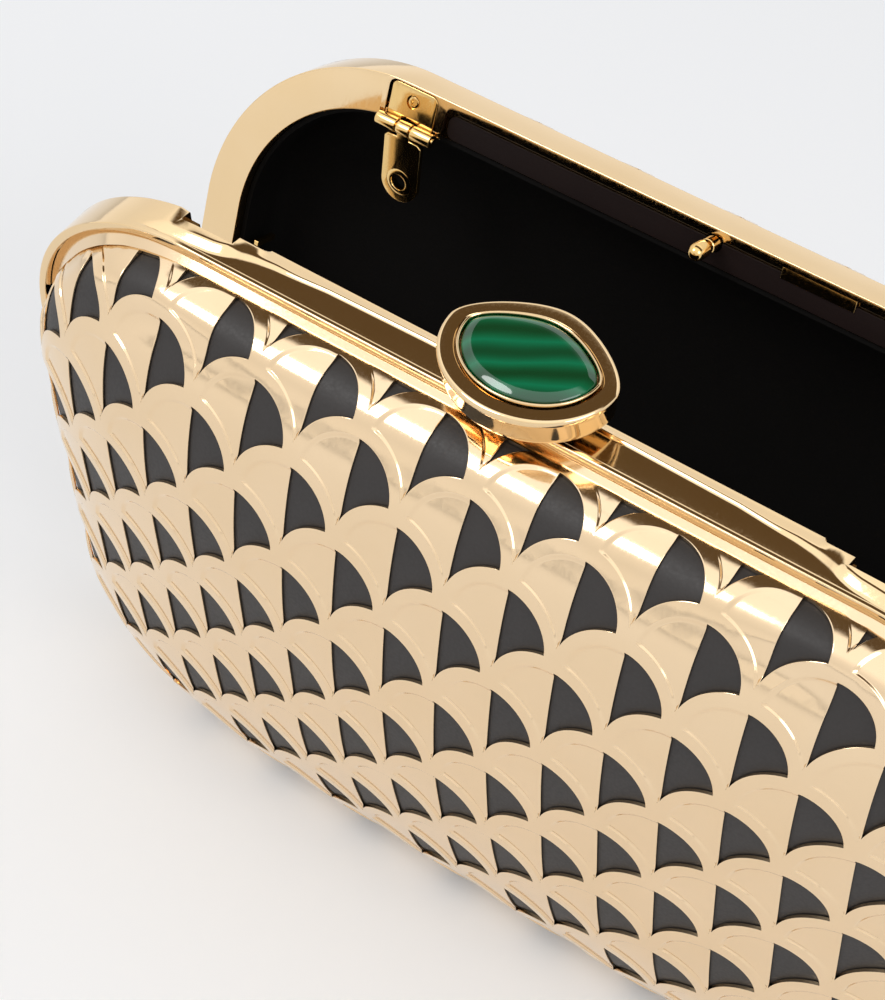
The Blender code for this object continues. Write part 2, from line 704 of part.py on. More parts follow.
def build_lug(label, sign, frames, halves):
    """A chain lug: a leaf let into the rear frame, its pin, and a hanging tab."""
    rear = halves[REAR]
    centre = sign * LUG_CENTRE_X
    half_barrel = LUG_BARREL_LENGTH / 2
    half_knuckle = LUG_KNUCKLE_LENGTH / 2
    axis = (LUG_AXIS_Y, LUG_AXIS_Z)
    outer = [
        (centre - half_barrel, centre - half_knuckle - LUG_KNUCKLE_GAP),
        (centre + half_knuckle + LUG_KNUCKLE_GAP, centre + half_barrel),
    ]
    left, right = centre - LUG_LEAF_WIDTH / 2, centre + LUG_LEAF_WIDTH / 2
    outline = rectangle(left, right, LUG_AXIS_Z, LUG_LEAF_TOP)
    spot = (centre, LUG_AXIS_Z + LUG_SCREW_RISE)
    leaf_back = LUG_LEAF_FACE + LUG_LEAF_THICKNESS
    shape = plate(
        [outline, circle(spot, SCREW_SHANK_RADIUS + CLEARANCE)], LUG_LEAF_FACE, leaf_back
    )
    leaf = place(f"{label}_leaf", shape, rear, HINGE_GOLD)
    gap_low = (outer[0][1] - FINGER_INSET, LUG_LEAF_FACE - OVERRUN, LUG_AXIS_Z - OVERRUN)
    gap_high = (outer[1][0] + FINGER_INSET, leaf_back + OVERRUN, LUG_AXIS_Z + LUG_LEAF_FOOT)
    cut(leaf, "gap", block(gap_low, gap_high))
    join(leaf, "barrel", *[rod("X", axis, low, high, LUG_BARREL_RADIUS) for low, high in outer])
    bore_ends = (centre - half_barrel - OVERRUN, centre + half_barrel + OVERRUN)
    cut(leaf, "bore", rod("X", axis, *bore_ends, LUG_BORE_RADIUS))
    pin = rod("X", axis, centre - half_barrel, centre + half_barrel, LUG_PIN_RADIUS)
    place(f"{label}_pin", pin, rear, HINGE_GOLD)
    build_screw(f"{label}_screw", REAR, LUG_LEAF_FACE, spot, rear)

    pocket = rounded_outline(
        left - CLEARANCE, right + CLEARANCE, LUG_AXIS_Z - OVERRUN, LUG_LEAF_TOP + CLEARANCE,
        CLEARANCE, 2,
    )
    cut(frames[REAR], f"{label}_pocket", plate([pocket], -OVERRUN, leaf_back + CLEARANCE))
    barrel_reach = LUG_BARREL_RADIUS + CLEARANCE
    notch_x = half_barrel + CLEARANCE
    notch_top = LUG_AXIS_Z + barrel_reach
    notch_low = (centre - notch_x, -OVERRUN, LUG_AXIS_Z - OVERRUN)
    notch_high = (centre + notch_x, LUG_AXIS_Y + barrel_reach, notch_top)
    cut(frames[REAR], f"{label}_barrel_notch", block(notch_low, notch_high))
    pilot_end = LUG_LEAF_FACE + SCREW_LENGTH
    pilot = rod("Y", spot, FACE_GAP, pilot_end, SCREW_SHANK_RADIUS + CLEARANCE)
    cut(frames[REAR], f"{label}_pilot", pilot)

    front_low = (centre - notch_x, LUG_AXIS_Y - barrel_reach, LUG_AXIS_Z - OVERRUN)
    front_high = (centre + notch_x, OVERRUN, notch_top)
    cut(frames[FRONT], f"{label}_barrel_notch", block(front_low, front_high))
    slot_x = TAB_WIDTH / 2 + CLEARANCE
    slot_low = (centre - slot_x, LUG_AXIS_Y - barrel_reach, LUG_AXIS_Z)
    slot_high = (centre + slot_x, OVERRUN, CASE_HEIGHT + OVERRUN)
    cut(frames[FRONT], f"{label}_tab_slot", block(slot_low, slot_high))

    pivot = new_empty(f"{label}_pivot", rear, (0.0, LUG_AXIS_Y, LUG_AXIS_Z), LEAN)
    half_tab = TAB_WIDTH / 2
    neck = [(centre - half_knuckle, 0.0), (centre - half_knuckle, -TAB_SHOULDER)]
    other = [(centre + half_knuckle, -TAB_SHOULDER), (centre + half_knuckle, 0.0)]
    bottom = arc((centre, half_tab - TAB_LENGTH), half_tab, math.pi, 2 * math.pi, 8)
    body = [*neck, (centre - half_tab, -TAB_SHOULDER), *bottom, (centre + half_tab, -TAB_SHOULDER)]
    eye = circle((centre, -EYELET_DROP), EYELET_RADIUS + CLEARANCE)
    shape = plate([[*body, *other], eye], -TAB_THICKNESS / 2, TAB_THICKNESS / 2)
    tab = place(f"{label}_tab", shape, pivot, HINGE_GOLD)
    knuckle = rod("X", (0.0, 0.0), centre - half_knuckle, centre + half_knuckle, LUG_BARREL_RADIUS)
    join(tab, "barrel", knuckle)
    cut(tab, "bore", rod("X", (0.0, 0.0), *bore_ends, LUG_BORE_RADIUS))
    eyelet = plate(
        [circle((centre, -EYELET_DROP), EYELET_RADIUS), circle((centre, -EYELET_DROP), EYELET_BORE)],
        -EYELET_DEPTH / 2, EYELET_DEPTH / 2,
    )
    place(f"{label}_eyelet", eyelet, pivot, HINGE_GOLD)


def drop_outline(inset):
    """The clasp from above: a round front that tapers to a soft point at the rear."""
    points = []
    for step in range(CLASP_SIDES):
        turn = 2 * math.pi * step / CLASP_SIDES
        across, out = math.cos(turn), math.sin(turn)
        reach = CLASP_REAR_REACH if out > 0 else CLASP_FRONT_REACH
        taper = 1 - CLASP_TAPER_SHARE * max(out, 0.0)
        points.append(
            (
                (CLASP_HALF_WIDTH - inset) * across * taper,
                CLASP_CENTRE_Y + (reach - inset) * out,
            )
        )
    return points


def build_clasp(front, front_frame):
    """The push clasp: a fixed base, and a stone-set cap that carries the latch plate."""
    slide = new_empty("clasp_slide", front)
    bottom = CASE_HEIGHT + CLASP_BOTTOM
    block_top = bottom + CLASP_BLOCK_HEIGHT
    top = block_top + CLASP_PLATE_THICKNESS
    cap = place(
        "clasp_cap",
        plate([drop_outline(CLASP_PLATE_OVERHANG)], bottom, block_top + CLEARANCE, "Z"),
        slide, GOLD,
    )
    join(cap, "plate", plate([drop_outline(0.0)], block_top, top, "Z"))
    room = block(
        (-CLASP_ROOM_HALF_WIDTH, -CLASP_ROOM_FRONT, bottom - OVERRUN),
        (CLASP_ROOM_HALF_WIDTH, CLASP_ROOM_REAR, CASE_HEIGHT + CLASP_ROOM_RISE),
    )
    cut(cap, "room", room)
    seat = top - BEZEL_DEPTH
    cut(cap, "stone_seat", plate([drop_outline(BEZEL_INSET - CLEARANCE)], seat, top + OVERRUN, "Z"))
    bezel_low = seat + CLEARANCE
    bezel = plate(
        [drop_outline(BEZEL_INSET), drop_outline(BEZEL_INSET + BEZEL_WALL)],
        bezel_low, top + BEZEL_RISE, "Z",
    )
    place("clasp_bezel", bezel, slide, GOLD)
    stone_inset = BEZEL_INSET + BEZEL_WALL + CLEARANCE
    place("clasp_stone", stone_mesh(stone_inset, bezel_low, top + BEZEL_RISE / 2), slide, STONE)

    recess_top = CASE_HEIGHT - FRONT_RECESS
    base = place(
        "clasp_base",
        block(
            (-CLASP_BASE_HALF_WIDTH, -CLASP_BASE_DEPTH, recess_top + CLEARANCE),
            (CLASP_BASE_HALF_WIDTH, -FACE_GAP, CASE_HEIGHT + CLASP_BASE_RISE),
        ),
        front, GOLD,
    )
    latch_back = LATCH_FACE + LATCH_THICKNESS
    slot_x = LATCH_HALF_WIDTH + LATCH_SIDE_ROOM
    window_low = PIN_AXIS_Z - LATCH_WINDOW_BELOW
    latch_low = window_low - LATCH_BAR
    slot_low = latch_low - CLASP_TRAVEL - CLEARANCE
    slot = block(
        (-slot_x, -latch_back - LATCH_SIDE_ROOM, slot_low),
        (slot_x, -LATCH_FACE + LATCH_SIDE_ROOM, CASE_HEIGHT + CLASP_BASE_RISE + OVERRUN),
    )
    cut(base, "latch_slot", slot)
    cut(front_frame, "latch_slot", slot)
    outline = [
        (-LATCH_HALF_WIDTH, latch_low),
        (LATCH_HALF_WIDTH, latch_low),
        (LATCH_HALF_WIDTH, CASE_HEIGHT + CLASP_ROOM_RISE - CLEARANCE),
        (-LATCH_HALF_WIDTH, CASE_HEIGHT + CLASP_ROOM_RISE - CLEARANCE),
    ]
    window_high = PIN_AXIS_Z + LATCH_WINDOW_ABOVE
    window = [
        (-LATCH_WINDOW_HALF, window_low),
        (LATCH_WINDOW_HALF, window_low),
        (LATCH_WINDOW_HALF, window_high),
        (-LATCH_WINDOW_HALF, window_high),
    ]
    place("latch_plate", plate([outline, window], -latch_back, -LATCH_FACE), slide, STEEL)
    build_spring(front)


def stone_mesh(inset, low, girdle):
    """A low cabochon cut to the drop outline."""
    body = bmesh.new()
    shoulder = (inset * STONE_SHOULDER_SHARE, girdle + STONE_CROWN * STONE_SHOULDER_RISE_SHARE)
    levels = [(inset, low), (inset, girdle), shoulder]
    rings = [[body.verts.new((x, y, z)) for x, y in drop_outline(i)] for i, z in levels]
    inner_inset = inset + (CLASP_HALF_WIDTH - inset) * STONE_TABLE_SHARE
    crown = [
        body.verts.new((x, y, girdle + STONE_CROWN)) for x, y in drop_outline(inner_inset)
    ]
    rings.append(crown)
    for lower, upper in zip(rings, rings[1:]):
        for step in range(CLASP_SIDES):
            after = (step + 1) % CLASP_SIDES
            body.faces.new((lower[step], lower[after], upper[after], upper[step]))
    body.faces.new(reversed(rings[0]))
    body.faces.new(rings[-1])
    bmesh.ops.recalc_face_normals(body, faces=body.faces)
    mesh = bpy.data.meshes.new("stone")
    body.to_mesh(mesh)
    body.free()
    return mesh


def build_spring(front):
    """The coil that lifts the cap, at the length it is squeezed to."""
    low = CASE_HEIGHT + CLASP_BASE_RISE + CLEARANCE + SPRING_WIRE_RADIUS
    high = CASE_HEIGHT + CLASP_ROOM_RISE - CLASP_TRAVEL - CLEARANCE - SPRING_WIRE_RADIUS
    curve = bpy.data.curves.new("spring", "CURVE")
    curve.dimensions = "3D"
    curve.bevel_depth = SPRING_WIRE_RADIUS
    curve.bevel_resolution = 1
    curve.use_fill_caps = True
    spline = curve.splines.new("POLY")
    count = int(SPRING_TURNS * SPRING_SIDES)
    spline.points.add(count)
    centre_y = -(LATCH_FACE + CLASP_BASE_DEPTH) / 2 - LATCH_SIDE_ROOM
    for step, point in enumerate(spline.points):
        turn = 2 * math.pi * SPRING_TURNS * step / count
        point.co = (
            SPRING_X + SPRING_RADIUS * math.cos(turn),
            centre_y + SPRING_RADIUS * math.sin(turn),
            low + (high - low) * step / count,
            1.0,
        )
    holder = bpy.data.objects.new("spring_path", curve)
    bpy.context.scene.collection.objects.link(holder)
    depsgraph = bpy.context.evaluated_depsgraph_get()
    mesh = bpy.data.meshes.new_from_object(holder.evaluated_get(depsgraph))
    bpy.data.objects.remove(holder, do_unlink=True)
    body = bmesh.new()
    body.from_mesh(mesh)
    bmesh.ops.remove_doubles(body, verts=body.verts, dist=WELD_DISTANCE)
    bmesh.ops.recalc_face_normals(body, faces=body.faces)
    body.to_mesh(mesh)
    body.free()
    place("clasp_spring", mesh, front, STEEL)


def shape_front_frame(frame):
    """The front frame's top: a shallow recess behind a thin lip, notched for the lugs."""
    inner = -(RING_DEPTH - FRONT_LIP)
    half = FRONT_RECESS_HALF
    floor = CASE_HEIGHT - FRONT_RECESS
    middle = CASE_HEIGHT - RING_WALL / 2
    bed = block(
        (-half, CLEARANCE - RING_DEPTH, floor - FRONT_RECESS_FLOOR), (half, -FLANGE_BACK / 2, middle)
    )
    tongue_half = REBATE_HALF - REBATE_CORNER
    tongue = block(
        (-tongue_half, -FLANGE_BACK / 2, CASE_HEIGHT - FLANGE_WIDTH + CLEARANCE),
        (tongue_half, TONGUE_PROUD, middle),
    )
    join(frame, "bed", bed, tongue)
    back = TONGUE_PROUD + OVERRUN
    left = arc((RECESS_CORNER - half, inner + RECESS_CORNER), RECESS_CORNER,
               math.pi, 1.5 * math.pi, 4)
    right = arc((half - RECESS_CORNER, inner + RECESS_CORNER), RECESS_CORNER,
                1.5 * math.pi, 2 * math.pi, 4)
    outline = [(-half, back), *left, *right, (half, back)]
    recess = plate([outline], floor, CASE_HEIGHT + OVERRUN, "Z")
    cut(frame, "recess", recess)
    for sign, word in ((-1, "left"), (1, "right")):
        near, far = sorted((sign * NOTCH_INNER, sign * half))
        notch = block(
            (near, -NOTCH_DEPTH, CASE_HEIGHT - NOTCH_DROP), (far, OVERRUN, CASE_HEIGHT + OVERRUN)
        )
        cut(frame, f"{word}_notch", notch)
    reach = PIN_HEAD_RADIUS + CLEARANCE
    groove = block(
        (-reach, -PIN_LENGTH - CLEARANCE, PIN_AXIS_Z - reach),
        (reach, back, CASE_HEIGHT + OVERRUN),
    )
    cut(frame, "pin_groove", groove)


def shape_rear_frame(frame, rear):
    """The rear frame's top: a rebate lined with leather, the strike pin and keeper."""
    top = CASE_HEIGHT - REBATE_LIP
    foot = CASE_HEIGHT - FLANGE_WIDTH
    outline = rounded_outline(
        -REBATE_HALF, REBATE_HALF, foot - REBATE_CORNER - OVERRUN, top, REBATE_CORNER, 3
    )
    cut(frame, "rebate", plate([outline], -OVERRUN, REBATE_DEPTH))
    hole = PIN_HEAD_RADIUS + CLEARANCE
    bore = rod("Y", (0.0, PIN_AXIS_Z), REBATE_DEPTH - OVERRUN, RING_DEPTH, hole)
    cut(frame, "pin_bore", bore)
    leather_back = LIP_LEATHER_FACE + LIP_LEATHER_THICKNESS
    keeper_low = top - CLEARANCE - KEEPER_HEIGHT
    leather_top = keeper_low - CLEARANCE
    leather = rounded_outline(
        CLEARANCE - REBATE_HALF, REBATE_HALF - CLEARANCE, foot + CLEARANCE, leather_top,
        REBATE_CORNER, 3,
    )
    strip = place("rear_lip_leather", plate([leather], LIP_LEATHER_FACE, leather_back), rear, LEATHER)
    cut(strip, "pin_hole", rod("Y", (0.0, PIN_AXIS_Z), FACE_GAP, RING_DEPTH, hole))
    keeper = block(
        (KEEPER_X - KEEPER_LENGTH / 2, LIP_LEATHER_FACE, keeper_low),
        (KEEPER_X + KEEPER_LENGTH / 2, leather_back, keeper_low + KEEPER_HEIGHT),
    )
    place("keeper_plate", keeper, rear, HINGE_GOLD)
    centre = (0.0, PIN_AXIS_Z)
    latch_back = LATCH_FACE + LATCH_THICKNESS
    neck_near = -LATCH_FACE + CLEARANCE
    neck_far = -latch_back - CLEARANCE
    shank_end = FLANGE_BACK - FACE_GAP
    pin = place(
        "strike_pin", rod("Y", centre, neck_near, shank_end, PIN_HEAD_RADIUS), rear, HINGE_GOLD
    )
    overlap = CLEARANCE
    join(pin, "neck", rod("Y", centre, neck_far - overlap, neck_near + overlap, PIN_NECK_RADIUS))
    head_start = -PIN_LENGTH + PIN_TIP_RADIUS
    join(pin, "head", rod("Y", centre, head_start, neck_far, PIN_HEAD_RADIUS))
    tip = rod("Y", centre, -PIN_LENGTH, head_start + overlap, PIN_TIP_RADIUS, PIN_HEAD_RADIUS - overlap)
    join(pin, "tip", tip)


def build_side_bars(rear):
    """A short guide bar inside each side of the rear half."""
    wall = CASE_WIDTH / 2 - FLANGE_WIDTH - LINING_ROOM - LINING_THICKNESS - SIDE_BAR_ROOM
    for sign, word in ((-1, "left"), (1, "right")):
        near, far = sorted((sign * wall, sign * (wall - SIDE_BAR_SIZE)))
        bar = block(
            (near, SIDE_BAR_FACE, SIDE_BAR_Z - SIDE_BAR_SIZE / 2),
            (far, SIDE_BAR_FACE + SIDE_BAR_LENGTH, SIDE_BAR_Z + SIDE_BAR_SIZE / 2),
        )
        place(f"{word}_side_bar", bar, rear, HINGE_GOLD)


def build_shells(front, rear):
    """The cage, leather shell and lining of both halves; the rear ones are turned round."""
    cage = cage_mesh()
    leather_inset = RING_WALL + CAGE_ROOM + CAGE_THICKNESS + LEATHER_ROOM
    leather_rise = CAGE_RISE - CAGE_THICKNESS - LEATHER_RISE_ROOM
    leather = dome_shell("leather", leather_inset, leather_rise, SHELL_SEAT)
    lining_rise = leather_rise - LEATHER_THICKNESS - LINING_RISE_ROOM
    lining_inset = FLANGE_WIDTH + LINING_ROOM
    lining = dome_shell("lining", lining_inset, lining_rise, LINING_RIM)
    for half, word, turned in ((front, "front", False), (rear, "rear", True)):
        openwork = place(f"{word}_cage", cage, half, GOLD, turned)
        thicken(openwork, CAGE_THICKNESS)
        thicken(place(f"{word}_leather", leather, half, LEATHER, turned), LEATHER_THICKNESS)
        thicken(place(f"{word}_lining", lining, half, LINING, turned), LINING_THICKNESS)
        if half == front:
            reach = PIN_HEAD_RADIUS + CLEARANCE
            notch = block(
                (-reach, -PIN_LENGTH - CLEARANCE, PIN_AXIS_Z - reach - CAGE_THICKNESS),
                (reach, OVERRUN, CASE_HEIGHT),
            )
            cut(openwork, "pin_notch", notch)


def cut_rest_land(frame):
    """A narrow flat along the bottom lip, level when the case stands open."""
    half = CASE_WIDTH / 2
    floor = block((-half, -half, -half), (half, half, 0.0))
    cut(frame, "rest_land", floor, parent=None)


clear_scene()
MODEL = new_collection(MODEL_NAME)
CUTTERS = new_collection(f"{MODEL_NAME}_cutters")
GOLD = new_material("pale gold plate", (0.80, 0.60, 0.36), 0.16, 1.0)
HINGE_GOLD = new_material("yellow gold plate", (0.78, 0.53, 0.22), 0.18, 1.0)
STEEL = new_material("steel", (0.55, 0.55, 0.55), 0.3, 1.0)
LEATHER = new_material("black leather", (0.045, 0.040, 0.038), 0.5)
LINING = new_material("black lining", (0.006, 0.005, 0.005), 0.6)
STONE = new_material("banded green stone", (0.0, 0.145, 0.06), 0.12)

rear_half = new_empty("rear_half", None, (0.0, 0.0, HINGE_LIFT), -LEAN)
front_half = new_empty("front_half", None, (0.0, 0.0, HINGE_LIFT), LEAN)
HALVES = {REAR: rear_half, FRONT: front_half}
FRAMES = {
    REAR: ring_frame("rear_frame", REAR, rear_half),
    FRONT: ring_frame("front_frame", FRONT, front_half),
}
shape_front_frame(FRAMES[FRONT])
shape_rear_frame(FRAMES[REAR], rear_half)
build_shells(front_half, rear_half)
build_clasp(front_half, FRAMES[FRONT])
for sign, label in ((-1, "left_hinge"), (1, "right_hinge")):
    build_bottom_hinge(label, sign * HINGE_CENTRE_X, FRAMES, HALVES)
for sign, label in ((-1, "left_lug"), (1, "right_lug")):
    build_lug(label, sign, FRAMES, HALVES)
build_side_bars(rear_half)
for frame in FRAMES.values():
    cut_rest_land(frame)
    weld = frame.modifiers.new("weld", "WELD")
    weld.merge_threshold = FINE_WELD
bpy.context.view_layer.update()
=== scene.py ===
# %% [markdown]
# # A hard evening clutch with openwork cages
# The case is two gold-plated ring frames, hinged along the bottom. Each carries a pierced cage
# of fish scales over a black leather shell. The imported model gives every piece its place, and
# this lesson dresses it: finer shapes first measured in millimetres, then real finishes.

import itertools
import json
import math

import bmesh
import bpy
import numpy as np
from mathutils import Matrix, Vector
from mathutils.geometry import delaunay_2d_cdt
from mathutils.kdtree import KDTree


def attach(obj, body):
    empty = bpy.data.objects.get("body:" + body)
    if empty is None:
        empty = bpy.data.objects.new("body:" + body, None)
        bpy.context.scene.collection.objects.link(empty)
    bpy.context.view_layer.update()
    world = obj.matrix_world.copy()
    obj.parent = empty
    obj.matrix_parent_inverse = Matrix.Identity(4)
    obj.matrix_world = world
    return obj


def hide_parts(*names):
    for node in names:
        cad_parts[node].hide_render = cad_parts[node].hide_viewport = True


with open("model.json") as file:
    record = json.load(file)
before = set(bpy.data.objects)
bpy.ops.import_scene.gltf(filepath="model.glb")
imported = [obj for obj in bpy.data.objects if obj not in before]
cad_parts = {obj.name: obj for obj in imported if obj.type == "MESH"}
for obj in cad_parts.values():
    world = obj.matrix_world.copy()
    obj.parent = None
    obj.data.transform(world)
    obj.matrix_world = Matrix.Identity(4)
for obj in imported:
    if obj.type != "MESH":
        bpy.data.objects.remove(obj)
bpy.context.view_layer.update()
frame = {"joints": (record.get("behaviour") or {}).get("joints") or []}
MM = 0.001

# %% [markdown]
# Both halves lean outwards from the hinge line by half of the opening angle. A piece is drawn
# upright in its own half, where X runs across, Z up and Y away from the meeting plane, and one
# matrix then leans its mesh into place. The angle and the hinge line come from the joint.

# %% The two halves
main_hinge = next(joint for joint in frame["joints"] if joint["name"] == "main_hinge")
LEAN = math.radians(-main_hinge["range_deg"][0] / 2)
hinge_line = Matrix.Translation(main_hinge["pos_m"])
REAR_HALF = hinge_line @ Matrix.Rotation(-LEAN, 4, "X")
FRONT_HALF = hinge_line @ Matrix.Rotation(LEAN, 4, "X")
TURNED = Matrix.Rotation(math.pi, 4, "Z")
print(f"each half leans {math.degrees(LEAN):.2f} degrees")

# %% [markdown]
# The camera stands where the photograph's stood: above, right and in front, with a long lens.
# One small function puts it, and every later object, in the scene.

# %% Camera
def placed(name, data):
    item = bpy.data.objects.new(name, data)
    bpy.context.scene.collection.objects.link(item)
    return item


camera = placed("camera", bpy.data.cameras.new("camera"))
camera.location = (0.13427583, -0.26380819, 0.34010738)
camera.rotation_euler = [math.radians(turn) for turn in (47.80517233, -4.80785169, 35.74479348)]
camera.data.lens = 93.83048
camera.data.sensor_width = 36.0
camera.data.clip_start = 0.01
bpy.context.scene.camera = camera
bpy.context.scene.view_settings.view_transform = "Standard"
print("camera is", round(camera.location.length, 3), "m from the hinge line")

# %% [markdown]
# Colours are written as sRGB hex, as a paint program gives them, and one function turns them
# to the linear values that Blender's shaders use. Patterns are sized in real millimetres. The
# other functions add one node, or a small group of nodes that several finishes share.

# %% Colour and node helpers
def colour(code):
    channels = [int(code[place:place + 2], 16) / 255 for place in (1, 3, 5)]
    linear = [c / 12.92 if c <= 0.04045 else ((c + 0.055) / 1.055) ** 2.4 for c in channels]
    return (*linear, 1.0)


def add(tree, kind, settings=None, **links):
    """Adds a node; settings fill its properties or sockets, links join sockets to it."""
    node = tree.nodes.new(kind)
    for name, value in (settings or {}).items():
        if isinstance(name, int) or name in node.inputs:
            node.inputs[name].default_value = value
        else:
            setattr(node, name, value)
    for name, source in links.items():
        place = int(name[1:]) if name[0] == "i" and name[1:].isdigit() else name.replace("_", " ")
        tree.links.new(source, node.inputs[place])
    return node


def cleared(owner):
    """The empty node tree of a world or a material."""
    owner.use_nodes = True
    owner.node_tree.nodes.clear()
    return owner.node_tree


def coloured_ramp(tree, value, stops):
    """A ramp from places between 0 and 1 to linear colours."""
    ramp = add(tree, "ShaderNodeValToRGB", Fac=value)
    elements = ramp.color_ramp.elements
    while len(elements) < len(stops):
        elements.new(0.5)
    for element, (place, shade) in zip(elements, stops):
        element.position = place
        element.color = shade
    return ramp.outputs["Color"]


print("pale gold in linear values:", [round(c, 3) for c in colour("#EBCD9C")[:3]])


# %% Helpers for a finish
def surface(name, **values):
    """A material, its tree, its shader's sockets and the place on the object."""
    material = bpy.data.materials.new(name)
    material.use_nodes = True
    tree = material.node_tree
    sockets = tree.nodes["Principled BSDF"].inputs
    for socket, value in values.items():
        sockets[socket.replace("_", " ")].default_value = value
    return material, tree, sockets, add(tree, "ShaderNodeTexCoord").outputs["Object"]


def noise(tree, place, size, detail):
    settings = {"Scale": 1 / (size * MM), "Detail": detail}
    return add(tree, "ShaderNodeTexNoise", settings, Vector=place).outputs["Fac"]


def mapped(tree, place, upward, turn=(0.0, 0.0, 0.0)):
    """Turns a pattern, and draws it out along Z where upward is below 1."""
    settings = {"Scale": (1.0, 1.0, upward), "Rotation": turn}
    return add(tree, "ShaderNodeMapping", settings, Vector=place).outputs[0]


def tinted(tree, sockets, share, code, other_code):
    """Lets a pattern mix the base colour from two."""
    settings = {"data_type": "RGBA", 6: colour(code), 7: colour(other_code)}
    mix = add(tree, "ShaderNodeMix", settings, i0=share)
    tree.links.new(mix.outputs[2], sockets["Base Color"])


def roughened(tree, sockets, value, low, high, first=0.0, last=1.0):
    """Lets a pattern that runs from first to last vary the roughness from low to high."""
    settings = {"From Min": first, "From Max": last, "To Min": low, "To Max": high}
    rough = add(tree, "ShaderNodeMapRange", settings, Value=value)
    tree.links.new(rough.outputs[0], sockets["Roughness"])


def bumped(tree, sockets, height, depth, strength=1.0, invert=False):
    """Lets a pattern lift the surface by so many millimetres, or sink it."""
    settings = {"Strength": strength, "Distance": depth * MM, "invert": invert}
    bump = add(tree, "ShaderNodeBump", settings, Height=height)
    tree.links.new(bump.outputs[0], sockets["Normal"])


# %% [markdown]
# The stage is a pale floor that keeps the object's shadow. The camera and reflections see it a
# little brighter than the lamps make it, so it reads as the photograph's even grey-white.

# %% Floor
FLOOR_HALF = 4.0


def stage_material(name, code, glow, mirror_glow):
    material = bpy.data.materials.new(name)
    tree = cleared(material)
    path = add(tree, "ShaderNodeLightPath").outputs
    seen = add(
        tree, "ShaderNodeMath", {"operation": "MULTIPLY", 1: glow}, i0=path["Is Camera Ray"]
    )
    mirrored = add(
        tree, "ShaderNodeMath", {"operation": "MAXIMUM"},
        i0=path["Is Glossy Ray"], i1=path["Is Transmission Ray"],
    )
    strength = add(
        tree, "ShaderNodeMath", {"operation": "MULTIPLY_ADD", 1: mirror_glow},
        i0=mirrored.outputs[0], i2=seen.outputs[0],
    )
    paint = add(tree, "ShaderNodeBsdfDiffuse", {"Color": colour(code)})
    light = add(
        tree, "ShaderNodeEmission", {"Color": colour(code)}, Strength=strength.outputs[0]
    )
    both = add(tree, "ShaderNodeAddShader", i0=paint.outputs[0], i1=light.outputs[0])
    add(tree, "ShaderNodeOutputMaterial", Surface=both.outputs[0])
    return material


floor_mesh = bpy.data.meshes.new("stage_floor")
floor_mesh.from_pydata(
    [(x, y, 0.0) for x, y in ((-1, -1), (1, -1), (1, 1), (-1, 1))], [], [(0, 1, 2, 3)]
)
floor_mesh.transform(Matrix.Scale(FLOOR_HALF, 4))
floor_mesh.materials.append(stage_material("white sweep", "#EFF0F2", 0.09, 0.14))
floor = placed("stage_floor", floor_mesh)
print("floor is", 2 * FLOOR_HALF, "m wide")

# %% [markdown]
# Polished metal shows its surroundings, so the world is what makes the gold. It's bright all
# round and brightest overhead, apart from one brown patch high behind the case, which the flat
# tops of the clasp and the frames mirror. Surfaces without a polish get an even light instead.

# %% World
SKY_BANDS = ((0.0, 1.1), (0.25, 1.0), (0.55, 1.1), (0.8, 1.4), (1.0, 1.4))
PATCH_EDGES = (("Y", 0.02, 0.16), ("Y", 0.56, 0.47), ("Z", 0.42, 0.58), ("X", -0.62, -0.54))
PATCH_COLOUR, EVEN_LIGHT = (0.125, 0.085, 0.046, 1.0), (0.62, 0.62, 0.62, 1.0)


def studio_world():
    world = bpy.data.worlds.new("studio")
    bpy.context.scene.world = world
    tree = cleared(world)
    where = add(tree, "ShaderNodeTexCoord")
    way = add(tree, "ShaderNodeSeparateXYZ", Vector=where.outputs["Generated"]).outputs
    bands = [(place, (level, level, level, 1.0)) for place, level in SKY_BANDS]
    sky = coloured_ramp(tree, way["Z"], bands)
    patch = None
    for axis, outside, inside in PATCH_EDGES:
        settings = {"interpolation_type": "SMOOTHSTEP", "From Min": outside, "From Max": inside}
        edge = add(tree, "ShaderNodeMapRange", settings, Value=way[axis]).outputs[0]
        patch = edge if patch is None else add(
            tree, "ShaderNodeMath", {"operation": "MULTIPLY"}, i0=patch, i1=edge
        ).outputs[0]
    seen = add(tree, "ShaderNodeMix", {"data_type": "RGBA", 7: PATCH_COLOUR}, i0=patch, i6=sky)
    path = add(tree, "ShaderNodeLightPath").outputs
    studio = add(tree, "ShaderNodeBackground", Color=seen.outputs[2])
    even = add(tree, "ShaderNodeBackground", {"Color": EVEN_LIGHT})
    plain = add(tree, "ShaderNodeBackground", {"Color": colour("#F0F0F0")})
    soft = add(
        tree, "ShaderNodeMixShader",
        i0=path["Is Glossy Ray"], i1=even.outputs[0], i2=studio.outputs[0],
    )
    shown = add(
        tree, "ShaderNodeMixShader",
        i0=path["Is Camera Ray"], i1=soft.outputs[0], i2=plain.outputs[0],
    )
    add(tree, "ShaderNodeOutputWorld", Surface=shown.outputs[0])


studio_world()
print(f"the world has {len(SKY_BANDS)} bands, from the horizon to the zenith")

# %% Lamps
CASE_MIDDLE = Vector((0.0, 0.0, 0.06))


def soft_lamp(name, place, size, watts):
    lamp = placed(name, bpy.data.lights.new(name, "AREA"))
    lamp.location = place
    lamp.rotation_euler = (CASE_MIDDLE - Vector(place)).to_track_quat("-Z", "Y").to_euler()
    lamp.data.shape = "DISK"
    lamp.data.size = size
    lamp.data.energy = watts


soft_lamp("key", (-0.7, -0.9, 1.3), 0.7, 9.0)
soft_lamp("fill", (1.1, -0.5, 0.9), 0.8, 5.0)
print("two soft lamps, one each side of the camera")

